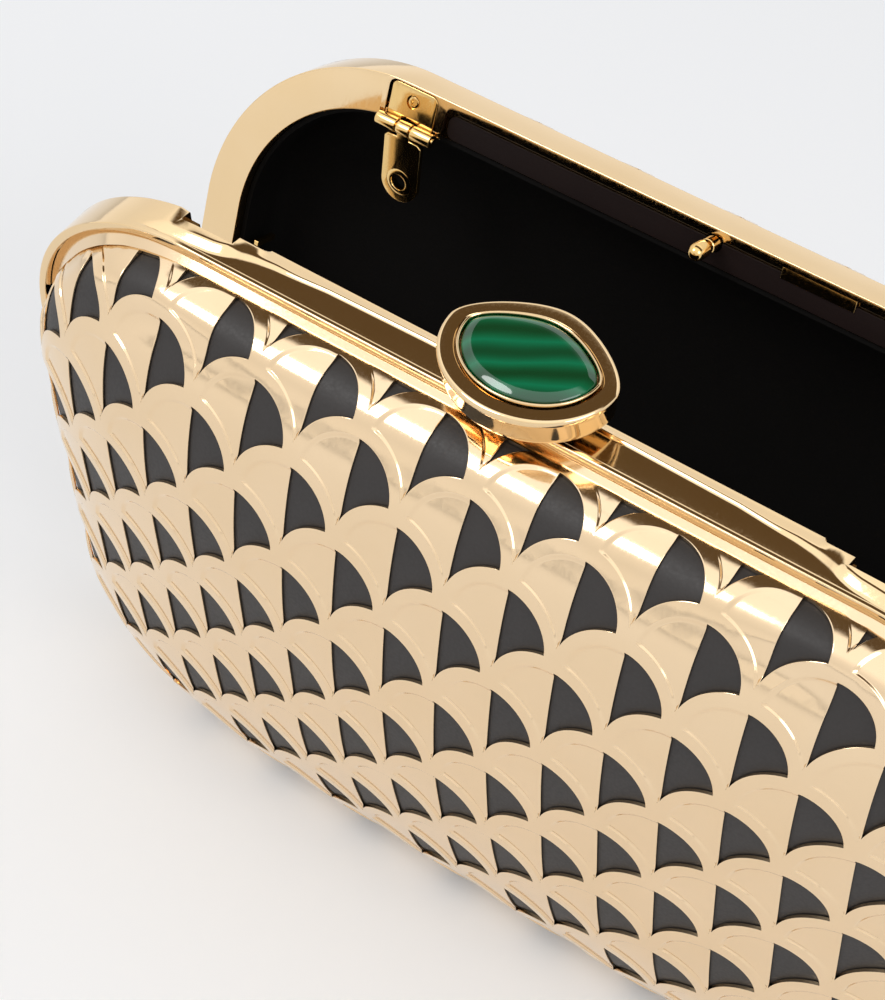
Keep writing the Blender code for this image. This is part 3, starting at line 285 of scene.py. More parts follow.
# %% [markdown]
# The cages and frames are brass castings, polished and plated in a pale gold. Plate that has
# been polished by hand is almost a mirror. What tells the eye that it is metal and not a
# picture of a room is a faint waviness, hair lines from the cloth, and colour that varies a
# little from one dip in the bath to the next.

# %% Gold plate
CLOUD_SIZE, SWELL_SIZE, HAIR_SPACING, HAIR_RANGE = 14, 9, 0.35, (0.4, 0.75)


def gold_plate(name, code, deep_code, roughness, wave):
    metal, tree, sockets, place = surface(name, Metallic=1.0)
    tinted(tree, sockets, noise(tree, place, CLOUD_SIZE, 3.0), code, deep_code)
    hair = noise(tree, mapped(tree, place, 0.06, (0.3, 0.5, 0.2)), HAIR_SPACING, 2.0)
    roughened(tree, sockets, hair, roughness, roughness + 0.07, *HAIR_RANGE)
    bumped(tree, sockets, noise(tree, place, SWELL_SIZE, 1.0), wave)
    return metal


PALE_GOLD = gold_plate("polished pale gold plate", "#EACFA6", "#E4C595", 0.07, 0.012)
CAGE_GOLD = gold_plate("pale gold plate on the cage", "#EBD1AE", "#E5C9A2", 0.10, 0.012)
YELLOW_GOLD = gold_plate("polished yellow gold plate", "#EACA8C", "#E0B772", 0.10, 0.015)
print("gold plates:", [m.name for m in (PALE_GOLD, CAGE_GOLD, YELLOW_GOLD)])

# %% [markdown]
# Steel fittings are ground, so fine straight lines spread their reflection one way.

# %% Ground steel
def ground_steel(name, code, spacing, low, high):
    metal, tree, sockets, place = surface(name, Metallic=1.0, Base_Color=colour(code))
    roughened(tree, sockets, noise(tree, mapped(tree, place, 0.03), spacing, 3.0), low, high)
    return metal


STEEL = ground_steel("ground steel", "#B9B7B2", 0.2, 0.22, 0.42)
print("steel lines are 0.2 mm apart")

# %% [markdown]
# The shells under the cages are covered with smooth calf leather. Its grain is a net of fine
# creases round flat pebbles of about half a millimetre, which breaks the sheen up softly.
# The lining is the same skin with a matt, darker finish.

# %% Leather
MOTTLE_SIZE = 7


def calf(name, code, worn_code, roughness, pebble, depth, gloss=0.5):
    leather, tree, sockets, place = surface(name, Specular_IOR_Level=gloss)
    settings = {"feature": "F1", "Scale": 1 / (pebble * MM)}
    cells = add(tree, "ShaderNodeTexVoronoi", settings, Vector=place).outputs["Distance"]
    tinted(tree, sockets, noise(tree, place, MOTTLE_SIZE, 4.0), code, worn_code)
    roughened(tree, sockets, cells, roughness, roughness + 0.12)
    bumped(tree, sockets, cells, depth, 0.5, True)
    return leather


SHELL_LEATHER = calf("smooth black calf", "#1F1B19", "#272220", 0.5, 0.5, 0.015)
LINING_LEATHER = calf("matt black lining calf", "#080706", "#0C0A09", 0.7, 0.4, 0.02, 0.12)
# The strip in the rear frame's rebate is near-black as a painted reflection: it stands in for the
# dark inside of the case mirrored there.
PAINTED_REFLECTION_STRIP = calf("painted reflection strip", "#140A09", "#1B100E", 0.6, 0.4, 0.015, 0.15)
print("leather pebbles are half a millimetre across")

# %% [markdown]
# The stone is a green banded one, cut low with a nearly flat top. Its bands are layers that grew
# one on another, so they run as wavy, nearly parallel curves from dark to middle green, and its
# polish is a clear gloss over them.

# %% Banded stone
STONE_BANDS = (
    (0.0, "#00401F"), (0.22, "#005C36"), (0.5, "#00714A"), (0.72, "#00623D"), (1.0, "#004626"),
)
WAVE_SIZE = 24


def banded_stone():
    stone, tree, sockets, place = surface("banded green stone", Roughness=0.05, IOR=1.65)
    bands = add(
        tree, "ShaderNodeTexWave",
        {"wave_type": "BANDS", "Scale": 1 / (WAVE_SIZE * MM), "Distortion": 3.0, "Detail": 2.5,
         "Detail Scale": 0.8},
        Vector=mapped(tree, place, 1.0, (0.2, 0.1, math.radians(62))),
    )
    stops = [(level, colour(code)) for level, code in STONE_BANDS]
    tree.links.new(coloured_ramp(tree, bands.outputs["Fac"], stops), sockets["Base Color"])
    return stone


STONE = banded_stone()
print(f"stone bands repeat every {WAVE_SIZE * math.pi / 10:.1f} mm before they are bent")

# %% [markdown]
# Every finished piece goes through one function: it leans the mesh into place, names it, rides
# it on its CAD body and hides the CAD nodes that it stands for. The body tells which way the
# piece leans, and the finish tells its slot.

# %% Finishing a piece
HALVES = (("front", "front_half"), ("rear", "root"))
PLACES = {"root": REAR_HALF, "front_half": FRONT_HALF, "clasp": FRONT_HALF}


def finish_piece(name, mesh, finish, body, *nodes):
    mesh.transform(PLACES[body])
    mesh.materials.clear()
    mesh.materials.append(finish)
    piece = placed(name, mesh)
    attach(piece, body)
    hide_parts(*nodes)
    print(f"{name}: {sum(len(face.vertices) - 2 for face in mesh.polygons)} triangles")


# %% [markdown]
# The cage is a dome over the case's outline. Its height falls from the crown with a power of
# the distance to the edge, which gives the flat top and full shoulders of a pillow. A scale's
# place is measured as lengths along the surface, so scales keep their size down the shoulders.
# All the points are worked out together in arrays, since there are tens of thousands.

# %% The dome
CASE_WIDTH, CASE_HEIGHT, CORNER_RADIUS = 180.0, 117.0, 34.4
CAGE_INSET, CAGE_RISE, CAGE_BASE, CAGE_THICKNESS = 3.65, 21.2, 7.9, 0.6
CROWN_POWER, CAGE_SHOULDER, OUTLINE_POWER = 1.6, 2.81, 4.375
CAGE_SIDE, CAGE_REACH, EDGE_BLEND, SEAT_INSET = 1.4, (0.2, 1.45, 0.3), 0.12, 1.45
SECTION_STEPS, BATCH, HALVINGS = 240, 4000, 30


def smooth(share):
    share = np.clip(share, 0.0, 1.0)
    return share * share * (3 - 2 * share)


class Dome:
    """Lengths are in millimetres, and x and z are measured from the middle of the case."""

    def __init__(self, inset, rise, shoulder, side, reach):
        """Side narrows the pillow; reach is how far its foot goes past it at side, top, corner."""
        self.half_width = CASE_WIDTH / 2 - inset - side
        self.half_height = CASE_HEIGHT / 2 - inset
        self.edge_width = self.half_width + reach[0]
        self.edge_height = self.half_height + reach[1]
        self.radius = CORNER_RADIUS - inset + reach[2]
        self.rise = rise
        self.shoulder = 1 / shoulder
        self.shares = np.sin(np.linspace(0.0, math.pi / 2, SECTION_STEPS))
        self.middle_x = self.edge_width * self.shares
        middle_y = self.depth(self.middle_x, 0 * self.middle_x)
        steps = np.hypot(np.diff(self.middle_x), np.diff(middle_y))
        self.middle_arc = np.concatenate(([0.0], np.cumsum(steps)))
        self.limits = self.column(self.middle_x)[1][:, -1]

    def frame_share(self, x, z):
        """How far out a point lies in a rectangle with round corners, which is 1 at its edge."""
        x, z = np.abs(x) + 1e-9, np.abs(z) + 1e-9
        corner_x, corner_z = self.edge_width - self.radius, self.edge_height - self.radius
        dot, size = x * corner_x + z * corner_z, x * x + z * z
        rest = corner_x**2 + corner_z**2 - self.radius**2
        corner = size / (dot + np.sqrt(np.maximum(dot * dot - size * rest, 0.0)))
        share = np.where(x * self.edge_height <= z * corner_x, z / self.edge_height, corner)
        return np.where(z * self.edge_width <= x * corner_z, x / self.edge_width, share)

    def share(self, x, z):
        """The pillow's own round outline, which gives way to the frame's close to the edge."""
        total = np.abs(x / self.half_width) ** OUTLINE_POWER
        total = total + np.abs(z / self.half_height) ** OUTLINE_POWER
        framed = self.frame_share(x, z)
        blend = smooth((framed - 1 + EDGE_BLEND) / EDGE_BLEND)
        return np.clip(total ** (1 / OUTLINE_POWER) * (1 - blend) + framed * blend, 0.0, 1.0)

    def depth(self, x, z):
        return self.rise * (1 - self.share(x, z) ** CROWN_POWER) ** self.shoulder

    def points(self, x, z):
        """Places in the upright half."""
        return np.stack((x, -CAGE_BASE - self.depth(x, z), z + CASE_HEIGHT / 2), 1)

    def column(self, x):
        """For each x, the heights up its section and the arc length to each."""
        aside = np.clip(np.abs(x) - self.edge_width + self.radius, 0.0, self.radius)
        edge = self.edge_height - self.radius + np.sqrt(self.radius**2 - aside**2)
        z = edge[:, None] * self.shares[None, :]
        y = self.depth(np.repeat(x[:, None], len(self.shares), axis=1), z)
        steps = np.hypot(np.diff(z, axis=1), np.diff(y, axis=1))
        arcs = np.concatenate((np.zeros((len(x), 1)), np.cumsum(steps, axis=1)), axis=1)
        return z, arcs

    def wrap(self, along, up):
        """Places on the case for arrays of arc lengths across and up the dome."""
        x = np.interp(np.abs(along), self.middle_arc, self.middle_x) * np.sign(along)
        z = np.zeros_like(x)
        for start in range(0, len(x), BATCH):
            part = slice(start, start + BATCH)
            heights, arcs = self.column(x[part])
            wanted = np.clip(np.abs(up[part]), 0.0, arcs[:, -1])
            index = np.clip((arcs < wanted[:, None]).sum(axis=1), 1, arcs.shape[1] - 1)
            row = np.arange(len(index))
            low, high = arcs[row, index - 1], arcs[row, index]
            blend = (wanted - low) / np.maximum(high - low, 1e-9)
            z[part] = heights[row, index - 1] * (1 - blend) + heights[row, index] * blend
        return x, z * np.sign(up)

    def limit(self, along):
        return np.interp(np.abs(along), self.middle_arc, self.limits)

    def unwrap(self, x, z):
        along = np.interp(np.abs(x), self.middle_x, self.middle_arc) * np.sign(x)
        heights, arcs = self.column(np.abs(x))
        up = [np.interp(abs(value), h, a) for value, h, a in zip(z, heights, arcs)]
        return along, np.array(up) * np.sign(z)

    def contour(self, share, sides):
        """The closed line of one share, found along rays from the middle."""
        turn = 2 * math.pi * np.arange(sides) / sides
        x, z = np.cos(turn) * self.edge_width, np.sin(turn) * self.edge_height
        edge = self.frame_share(x, z)
        x, z = x / edge, z / edge
        low, high = np.zeros(sides), np.ones(sides)
        for halving in range(HALVINGS):
            middle = (low + high) / 2
            beyond = self.share(x * middle, z * middle) > share
            low, high = np.where(beyond, low, middle), np.where(beyond, middle, high)
        reach = high if share < 1 else np.ones(sides)
        return x * reach, z * reach

    def normals(self, x, z):
        """Outward directions of the dome's surface, from the slope of its height."""
        share = np.clip(self.share(x, z), 1e-4, 0.99995)
        inside = 1 - share**CROWN_POWER
        slope = -self.rise * self.shoulder * inside ** (self.shoulder - 1)
        slope *= CROWN_POWER * share ** (CROWN_POWER - 1)
        inner_x, inner_z = x * 0.9999, z * 0.9999
        by_x = (self.share(inner_x + 1e-3, inner_z) - self.share(inner_x - 1e-3, inner_z)) / 2e-3
        by_z = (self.share(inner_x, inner_z + 1e-3) - self.share(inner_x, inner_z - 1e-3)) / 2e-3
        out = np.stack((-slope * by_x, np.full_like(x, -1.0), -slope * by_z), 1)
        return out / np.linalg.norm(out, axis=1)[:, None]


cage_dome = Dome(CAGE_INSET, CAGE_RISE, CAGE_SHOULDER, CAGE_SIDE, CAGE_REACH)
seat_outline = Dome(SEAT_INSET, 1.0, 1.0, 0.0, (0.0, 0.0, 0.0))
print(f"arc from the middle to the side: {cage_dome.middle_arc[-1]:.1f} mm")

# %% [markdown]
# One fish scale is drawn flat, about its own centre, from three circles and an upright line.
# Its right half is sawn out as a window. Its left half is a fan-shaped panel, pressed a third
# of a millimetre below the rim round it. The same outlines, grown or shrunk a little, place
# extra points where the surface rolls over an edge.

# %% One scale
SCALE_PITCH, SCALE_SHIFT = 9.35, (1.07, -8.04)
FAN_RADIUS, FAN_DROP, WINDOW_SIDE = 7.87, 1.76, 0.45
RIM_DROP, PANEL_DEPTH, FAN_SLOPE, SIDE_SLOPE = 1.1, 0.34, 0.9, 0.5
EDGE_ROLL, EDGE_DROP, ARC_STEP, LINE_STEP = 0.16, 0.06, 0.55, 0.7


def crossing(first, first_radius, second, second_radius, sign):
    """Where two circles meet; sign picks one of the two places."""
    first, second = np.array(first, float), np.array(second, float)
    gap = second - first
    length = np.linalg.norm(gap)
    along = (first_radius**2 - second_radius**2 + length**2) / (2 * length)
    aside = math.sqrt(max(first_radius**2 - along**2, 0.0))
    unit = gap / length
    return first + unit * along + sign * aside * np.array((-unit[1], unit[0]))


def around(centre, radius, turns):
    return [(centre[0] + radius * math.cos(t), centre[1] + radius * math.sin(t)) for t in turns]


def sweep(centre, radius, start, end):
    """Points on a circle from one place on it to another, by the shorter way."""
    first = math.atan2(start[1] - centre[1], start[0] - centre[0])
    last = math.atan2(end[1] - centre[1], end[0] - centre[0])
    turn = (last - first + math.pi) % (2 * math.pi) - math.pi
    count = max(2, math.ceil(abs(turn) * radius / ARC_STEP))
    return around(centre, radius, first + turn * np.arange(count) / count)


def line(start, end):
    count = max(1, math.ceil(math.dist(start, end) / LINE_STEP))
    return [tuple(np.array(start) + (np.array(end) - start) * n / count) for n in range(count)]


FAN_CENTRE = (0.0, -FAN_DROP)
LOWER_RIGHT = (SCALE_PITCH, -SCALE_PITCH - RIM_DROP)
LOWER_LEFT = (-SCALE_PITCH, -SCALE_PITCH - RIM_DROP)


def window_outline(grow):
    """Anticlockwise, grown by a distance all round."""
    across = WINDOW_SIDE - grow
    top = (across, math.sqrt((FAN_RADIUS + grow) ** 2 - across**2) - FAN_DROP)
    foot_rise = math.sqrt((SCALE_PITCH - grow) ** 2 - (SCALE_PITCH - across) ** 2)
    foot = (across, foot_rise + LOWER_RIGHT[1])
    tip = crossing(FAN_CENTRE, FAN_RADIUS + grow, LOWER_RIGHT, SCALE_PITCH - grow, 1)
    fan = sweep(FAN_CENTRE, FAN_RADIUS + grow, top, tip)
    lower = sweep(LOWER_RIGHT, SCALE_PITCH - grow, tip, foot)
    return list(reversed(fan + lower + line(foot, top)))


def panel_outline(share):
    """An open line, at a share of the way down the panel's sloping edge."""
    radius, lower = FAN_RADIUS - share * FAN_SLOPE, SCALE_PITCH + share * SIDE_SLOPE
    top = (WINDOW_SIDE, math.sqrt(radius**2 - WINDOW_SIDE**2) - FAN_DROP)
    left = crossing(FAN_CENTRE, radius, LOWER_LEFT, lower, -1)
    cusp = (0.0, math.sqrt(lower**2 - SCALE_PITCH**2) + LOWER_LEFT[1])
    foot_rise = math.sqrt(lower**2 - (SCALE_PITCH - WINDOW_SIDE) ** 2)
    foot = (WINDOW_SIDE, foot_rise + LOWER_RIGHT[1])
    fan = sweep(FAN_CENTRE, radius, top, left)
    side = sweep(LOWER_LEFT, lower, left, cusp)
    return fan + side + sweep(LOWER_RIGHT, lower, cusp, foot) + [foot]


WINDOW, WINDOW_ROLL = window_outline(0.0), window_outline(EDGE_ROLL)
PANELS = [panel_outline(share) for share in (0.0, 0.33, 0.67, 1.0)]
print(f"a window has {len(WINDOW)} points, a panel {len(PANELS[0])}")

# %% [markdown]
# The sheet is triangulated flat, with the outlines as fixed edges, a grid of points between
# them and the windows left out. Then it is bent onto the dome. A mirror finish shows the
# smallest unevenness of a mesh, so the shading directions aren't left to the triangles: they
# come from the slope of the surface itself, and are stored with the mesh.

# %% Height of the pressed sheet
COLUMNS, ROWS, LEAST_WINDOW = 13, 10, 2.0
EDGE_MARGIN, EDGE_BAND, FADE, PANEL_LAP, ROLL_BACK = 0.35, 0.3, 3.0, 0.05, 0.3


def inside_edge(points, margin):
    along = np.abs(points[:, 0])
    reach = cage_dome.middle_arc[-1] - margin
    return (along < reach) & (np.abs(points[:, 1]) < cage_dome.limit(points[:, 0]) - margin)


def clip_outline(points, centre):
    """An outline moved to its scale; what lies beyond the dome's edge is cut off straight."""
    moved = np.array(points) + centre
    kept = inside_edge(moved, EDGE_MARGIN)
    if kept.all() or not kept.any():
        return moved if kept.all() else None
    result = []
    for n, (here, after) in enumerate(zip(moved, np.roll(moved, -1, axis=0))):
        if kept[n]:
            result.append(here)
        if kept[n] != kept[(n + 1) % len(moved)]:
            low, high = (here, after) if kept[n] else (after, here)
            for halving in range(10):
                middle = (low + high) / 2
                within = inside_edge(middle[None], EDGE_MARGIN)[0]
                low, high = (middle, high) if within else (low, middle)
            result.append(low)
    return np.array(result)


def area(points):
    after = np.roll(points, -1, axis=0)
    return abs((points[:, 0] * after[:, 1] - after[:, 0] * points[:, 1]).sum()) / 2


scales = {}
for row in range(-ROWS, ROWS + 1):
    for column in range(-COLUMNS, COLUMNS + 1):
        if (row + column) % 2 == 0:
            centre = np.array((column, row)) * SCALE_PITCH + SCALE_SHIFT
            outline = clip_outline(WINDOW, centre)
            if outline is not None and area(outline) < LEAST_WINDOW:
                outline = None
            scales[column, row] = (centre, outline)
open_scale = np.zeros((2 * COLUMNS + 1, 2 * ROWS + 1), bool)
for (column, row), (centre, outline) in scales.items():
    open_scale[column + COLUMNS, row + ROWS] = outline is not None
windows = [outline for centre, outline in scales.values() if outline is not None]
print(f"{len(windows)} windows among {len(scales)} scales")
print(f"the middle column's arc is {cage_dome.limits[0]:.1f} mm")


def circle_gap(x, z, centre, radius):
    return np.hypot(x - centre[0], z - centre[1]) - radius


def sheet_height(along, up):
    """How far the sheet stands proud of the dome: below zero in panels and at cut edges."""
    height = np.zeros_like(along)
    fade = smooth((cage_dome.limit(along) - np.abs(up) - EDGE_BAND) / FADE)
    fade = fade * smooth((cage_dome.middle_arc[-1] - np.abs(along) - EDGE_BAND) / FADE)
    nearest_column = np.round((along - SCALE_SHIFT[0]) / SCALE_PITCH).astype(int)
    nearest_row = np.round((up - SCALE_SHIFT[1]) / SCALE_PITCH).astype(int)
    for step_column in (-1, 0, 1):
        for step_row in (-1, 0, 1, 2):
            column, row = nearest_column + step_column, nearest_row + step_row
            here = (column + row) % 2 == 0
            x = along - SCALE_SHIFT[0] - column * SCALE_PITCH
            z = up - SCALE_SHIFT[1] - row * SCALE_PITCH
            fan = circle_gap(x, z, FAN_CENTRE, FAN_RADIUS)
            left = circle_gap(x, z, LOWER_LEFT, SCALE_PITCH)
            right = circle_gap(x, z, LOWER_RIGHT, SCALE_PITCH)
            inside = np.minimum(np.minimum(-fan / FAN_SLOPE, left / SIDE_SLOPE), right / SIDE_SLOPE)
            panel = here & (x < WINDOW_SIDE + PANEL_LAP) & (inside > 0)
            height -= np.where(panel, PANEL_DEPTH * smooth(inside), 0.0)
            cut = open_scale[
                np.clip(column + COLUMNS, 0, 2 * COLUMNS), np.clip(row + ROWS, 0, 2 * ROWS)
            ]
            outside = np.maximum(np.maximum(fan, WINDOW_SIDE - x), -right)
            roll = 1 - outside / EDGE_ROLL
            near = here & cut & (roll > 0) & (outside > -ROLL_BACK)
            height -= np.where(near, EDGE_DROP * roll * roll, 0.0)
    return height * fade


# %% The pierced sheet
RAYS, RIM_STEP, GRID_STEP, GRID_MARGIN, GRID_GAP = 4000, 1.2, 1.7, 0.5, 0.55


def evenly(points, step):
    """A closed line of points, respaced by equal lengths."""
    closed = np.vstack((points, points[:1]))
    lengths = np.hypot(*np.diff(closed, axis=0).T)
    arcs = np.concatenate(([0.0], np.cumsum(lengths)))
    wanted = np.linspace(0.0, arcs[-1], round(arcs[-1] / step), endpoint=False)
    return np.stack([np.interp(wanted, arcs, closed[:, axis]) for axis in (0, 1)], 1)


def flat_sheet():
    """The sheet's points and triangles, laid out flat."""
    contour = evenly(np.stack(cage_dome.contour(1.0, RAYS), 1), RIM_STEP)
    edge = np.stack(cage_dome.unwrap(contour[:, 0], contour[:, 1]), 1)
    points, edges, loops = [edge], [], [list(range(len(edge)))]
    count = len(edge)
    for outline in windows:
        loops.append(list(range(count, count + len(outline))))
        points.append(outline)
        count += len(outline)
    for (column, row), (centre, outline) in scales.items():
        lines = [(panel, False) for panel in PANELS]
        if outline is not None:
            lines.append((WINDOW_ROLL, True))
        for shape, closed in lines:
            moved = np.array(shape) + centre
            kept = inside_edge(moved, EDGE_MARGIN + 0.1)
            if not kept.any():
                continue
            points.append(moved)
            total = len(moved)
            for n in range(total if closed else total - 1):
                if kept[n] and kept[(n + 1) % total]:
                    edges.append((count + n, count + (n + 1) % total))
            count += total
    fixed = np.vstack(points)
    used = np.zeros(len(fixed), bool)
    used[[n for loop in loops for n in loop]] = True
    used[[n for pair in edges for n in pair]] = True
    tree = KDTree(int(used.sum()))
    for n in np.flatnonzero(used):
        tree.insert((*fixed[n], 0.0), int(n))
    tree.balance()
    width, height = cage_dome.middle_arc[-1], cage_dome.limit(np.zeros(1))[0]
    grid = []
    for order, up in enumerate(np.arange(-height, height, GRID_STEP * 0.87)):
        for along in np.arange(-width, width, GRID_STEP) + (order % 2) * GRID_STEP / 2:
            grid.append((along, up))
    grid = np.array(grid)
    grid = grid[inside_edge(grid, GRID_MARGIN)]
    clear = [p for p in grid if tree.find((p[0], p[1], 0.0))[2] > GRID_GAP]
    renumber = np.cumsum(used) - 1
    corners = [Vector(p) for p in fixed[used]] + [Vector(p) for p in clear]
    flat = delaunay_2d_cdt(
        corners, [tuple(renumber[list(pair)]) for pair in edges],
        [[int(renumber[n]) for n in loop] for loop in loops], 1, 1e-5,
    )
    kept = [face for face, inside in zip(flat[2], flat[5]) if not any(n > 0 for n in inside)]
    return np.array([tuple(v) for v in flat[0]]), np.array(kept)


places, triangles = flat_sheet()
print(f"flat sheet: {len(places)} points, {len(triangles)} triangles")

# %% [markdown]
# Bent onto the dome, the sheet gets its thickness, walls along every cut and a skirt round the
# outside. The skirt leans out to the frame's wall, so that no dark slot is left between them.

# %% Bending the sheet onto the dome
SKIRT_END, NOTCH_HALF, SLOPE_STEP, SMOOTH_TURN = 5.6, 1.9, 0.01, 0.85


def unit(vectors):
    return vectors / np.maximum(np.linalg.norm(vectors, axis=1), 1e-12)[:, None]


def facing(corners):
    """The direction that a flat face looks in, from three of its corners."""
    flat = np.cross(corners[1] - corners[0], corners[2] - corners[0])
    return flat / max(np.linalg.norm(flat), 1e-15)


def cage_mesh(name, notched):
    """The bent sheet with its thickness, its skirt and its stored shading directions."""
    used = np.unique(triangles)
    renumber = np.full(len(places), -1)
    renumber[used] = np.arange(len(used))
    along, up = places[used].T
    faces = renumber[triangles]
    x, z = cage_dome.wrap(along, up)
    out = cage_dome.normals(x, z)
    base = cage_dome.points(x, z)
    top = base + out * sheet_height(along, up)[:, None]
    under = base - out * CAGE_THICKNESS
    step = SLOPE_STEP
    by_along = (sheet_height(along + step, up) - sheet_height(along - step, up)) / (2 * step)
    by_up = (sheet_height(along, up + step) - sheet_height(along, up - step)) / (2 * step)
    upward = unit(np.stack((np.zeros_like(x), -out[:, 2], out[:, 1]), 1))
    upward *= np.where(upward[:, 2] < 0, -1.0, 1.0)[:, None]
    across = np.cross(upward, out)
    across *= np.where(across[:, 0] < 0, -1.0, 1.0)[:, None]
    shading = unit(out - across * by_along[:, None] - upward * by_up[:, None])

    corners = faces[:, [1, 2, 0]]
    pairs = np.stack((faces.ravel(), corners.ravel()), 1)
    known = set(map(tuple, pairs.tolist()))
    rim = [pair for pair in map(tuple, pairs.tolist()) if (pair[1], pair[0]) not in known]
    at_edge = np.abs(up) > cage_dome.limit(along) - EDGE_BAND
    at_edge |= np.abs(along) > cage_dome.middle_arc[-1] - EDGE_BAND
    outer = [pair for pair in rim if at_edge[pair[0]] and at_edge[pair[1]]]
    cuts = [pair for pair in rim if not (at_edge[pair[0]] and at_edge[pair[1]])]
    total = len(used)
    ring = sorted({n for pair in outer for n in pair})
    low = {n: 2 * total + order for order, n in enumerate(ring)}
    inner = {n: 2 * total + len(ring) + order for order, n in enumerate(ring)}
    skirt, skirt_inner = top[ring].copy(), under[ring].copy()
    at_pin = notched & (np.abs(skirt[:, 0]) < NOTCH_HALF) & (skirt[:, 2] > CASE_HEIGHT / 2)
    seat = seat_outline.frame_share(skirt[:, 0], skirt[:, 2] - CASE_HEIGHT / 2)
    spread = np.where(at_pin, 1.0, 1 / seat)
    for edge in (skirt, skirt_inner):
        edge[:, 0] *= spread
        edge[:, 2] = CASE_HEIGHT / 2 + (edge[:, 2] - CASE_HEIGHT / 2) * spread
        edge[:, 1] = -SKIRT_END
    verts = np.vstack((top, under, skirt, skirt_inner)) * MM

    polygons = [tuple(face) for face in faces]
    polygons += [tuple(total + n for n in face[::-1]) for face in faces]
    normals = [tuple(shading[n]) for face in faces for n in face]
    normals += [tuple(-out[n]) for face in faces for n in face[::-1]]

    def wall(low_a, low_b, high_b, high_a, given=None):
        polygons.append((low_a, low_b, high_b, high_a))
        normals.extend(given or [tuple(facing(verts[[low_a, low_b, high_b]]))] * 4)

    walls = {(a, b): facing(verts[[total + a, total + b, b]]) for a, b in cuts}
    touching = {}
    for pair, flat in walls.items():
        for n in pair:
            touching.setdefault(n, []).append(flat)
    for (a, b), flat in walls.items():
        given = []
        for n in (a, b, b, a):
            near = [other for other in touching[n] if other @ flat > SMOOTH_TURN]
            mean = np.sum(near, axis=0)
            given.append(tuple(mean / np.linalg.norm(mean)))
        wall(total + a, total + b, b, a, given)
    side = unit(out * np.array((1.0, 0.0, 1.0)))
    fall = skirt[:, 1] - top[ring, 1]
    shift = np.hypot(skirt[:, 0] - top[ring, 0], skirt[:, 2] - top[ring, 2])
    lean = side[ring] * fall[:, None] - np.array((0.0, 1.0, 0.0)) * shift[:, None]
    leaning = dict(zip(ring, unit(lean)))
    for a, b in outer:
        wall(low[a], low[b], b, a, [tuple(leaning[n]) for n in (a, b, b, a)])
        wall(inner[a], inner[b], low[b], low[a])
        wall(total + a, total + b, inner[b], inner[a], [tuple(-side[n]) for n in (a, b, b, a)])
    mesh = bpy.data.meshes.new(name)
    mesh.from_pydata([tuple(v) for v in verts], [], polygons)
    mesh.validate(clean_customdata=False)
    mesh.normals_split_custom_set(normals)
    return mesh


for word, body in HALVES:
    cage = cage_mesh(f"{word}_openwork", word == "front")
    if word == "rear":
        cage.transform(TURNED)
    finish_piece(f"{word}_openwork", cage, CAGE_GOLD, body, f"{word}_cage")

# %% [markdown]
# The remaining pieces share a few ways of making a solid. Rings of points are skinned one to
# the next, plates and rods get rounded edges, and solids are joined or cut with booleans. A
# rounded edge matters more than its size suggests: it's the bright line that draws the piece.

# %% Making solids
EDGE_STEPS = ((1.0, 0.0), (0.62, 0.08), (0.29, 0.29), (0.08, 0.62), (0.0, 1.0))
SHARP, ROD_SIDES = 0.001, 36


def softened(mesh, angle=32.0):
    """Smooth except at angles sharper than given."""
    mesh.shade_smooth()
    mesh.set_sharp_from_angle(angle=math.radians(angle))
    return mesh


def solid(verts, faces, angle=32.0):
    """A closed mesh in metres from millimetres."""
    mesh = bpy.data.meshes.new("solid")
    mesh.from_pydata([tuple(float(v) * MM for v in point) for point in verts], [], faces)
    body = bmesh.new()
    body.from_mesh(mesh)
    bmesh.ops.remove_doubles(body, verts=body.verts, dist=0.002 * MM)
    bmesh.ops.recalc_face_normals(body, faces=body.faces)
    body.to_mesh(mesh)
    body.free()
    return softened(mesh, angle)


def skin(rings, closed=False, angle=32.0):
    """Rings of points joined one to the next; the ends are capped unless they meet."""
    count = len(rings[0])
    verts = [point for ring in rings for point in ring]
    faces = []
    for n in range(len(rings) if closed else len(rings) - 1):
        low, high = n * count, (n + 1) % len(rings) * count
        for k in range(count):
            after = (k + 1) % count
            faces.append((low + k, low + after, high + after, high + k))
    if not closed:
        faces.append(tuple(range(count))[::-1])
        faces.append(tuple(range(len(verts) - count, len(verts))))
    return solid(verts, faces, angle)


def shrunk(outline, distance):
    """A flat outline moved inwards by a distance, given anticlockwise."""
    points = np.array(outline, float)
    ahead = np.roll(points, -1, axis=0) - points
    ahead /= np.linalg.norm(ahead, axis=1)[:, None]
    inward = np.stack((-ahead[:, 1], ahead[:, 0]), 1)
    mean = inward + np.roll(inward, 1, axis=0)
    mean /= np.maximum((mean * inward).sum(axis=1), 0.3)[:, None]
    return points + mean * distance


def stood(outline, level, along):
    """A flat outline set across an axis, at a level along it."""
    place = "XYZ".index(along)
    return [(*spot[:place], level, *spot[place:]) for spot in outline]


def plate(outline, low, high, roll=0.12):
    """A flat plate whose thickness runs along Y."""
    rings = [stood(shrunk(outline, roll * a), low + roll * b, "Y") for a, b in EDGE_STEPS]
    upper = [stood(shrunk(outline, roll * a), high - roll * b, "Y") for a, b in EDGE_STEPS]
    return skin(rings + upper[::-1])


def circle(centre, radius, sides=40):
    return around(centre, radius, [2 * math.pi * n / sides for n in range(sides)])


def rod(centre, start, end, radius, roll=0.12, along="X"):
    """A round bar along an axis, with rounded ends; centre is its other two places."""
    rings = [(start + roll * b, radius - roll * a) for a, b in EDGE_STEPS]
    rings += [(end - roll * b, radius - roll * a) for a, b in EDGE_STEPS[::-1]]
    return skin([stood(circle(centre, size, ROD_SIDES), level, along) for level, size in rings])


def lathed(centre, profile, closed=False, angle=32.0):
    """A shape turned about an axis along Y, from pairs of Y and radius."""
    rings = [stood(circle(centre, radius), y, "Y") for y, radius in profile]
    return skin(rings, closed, angle)


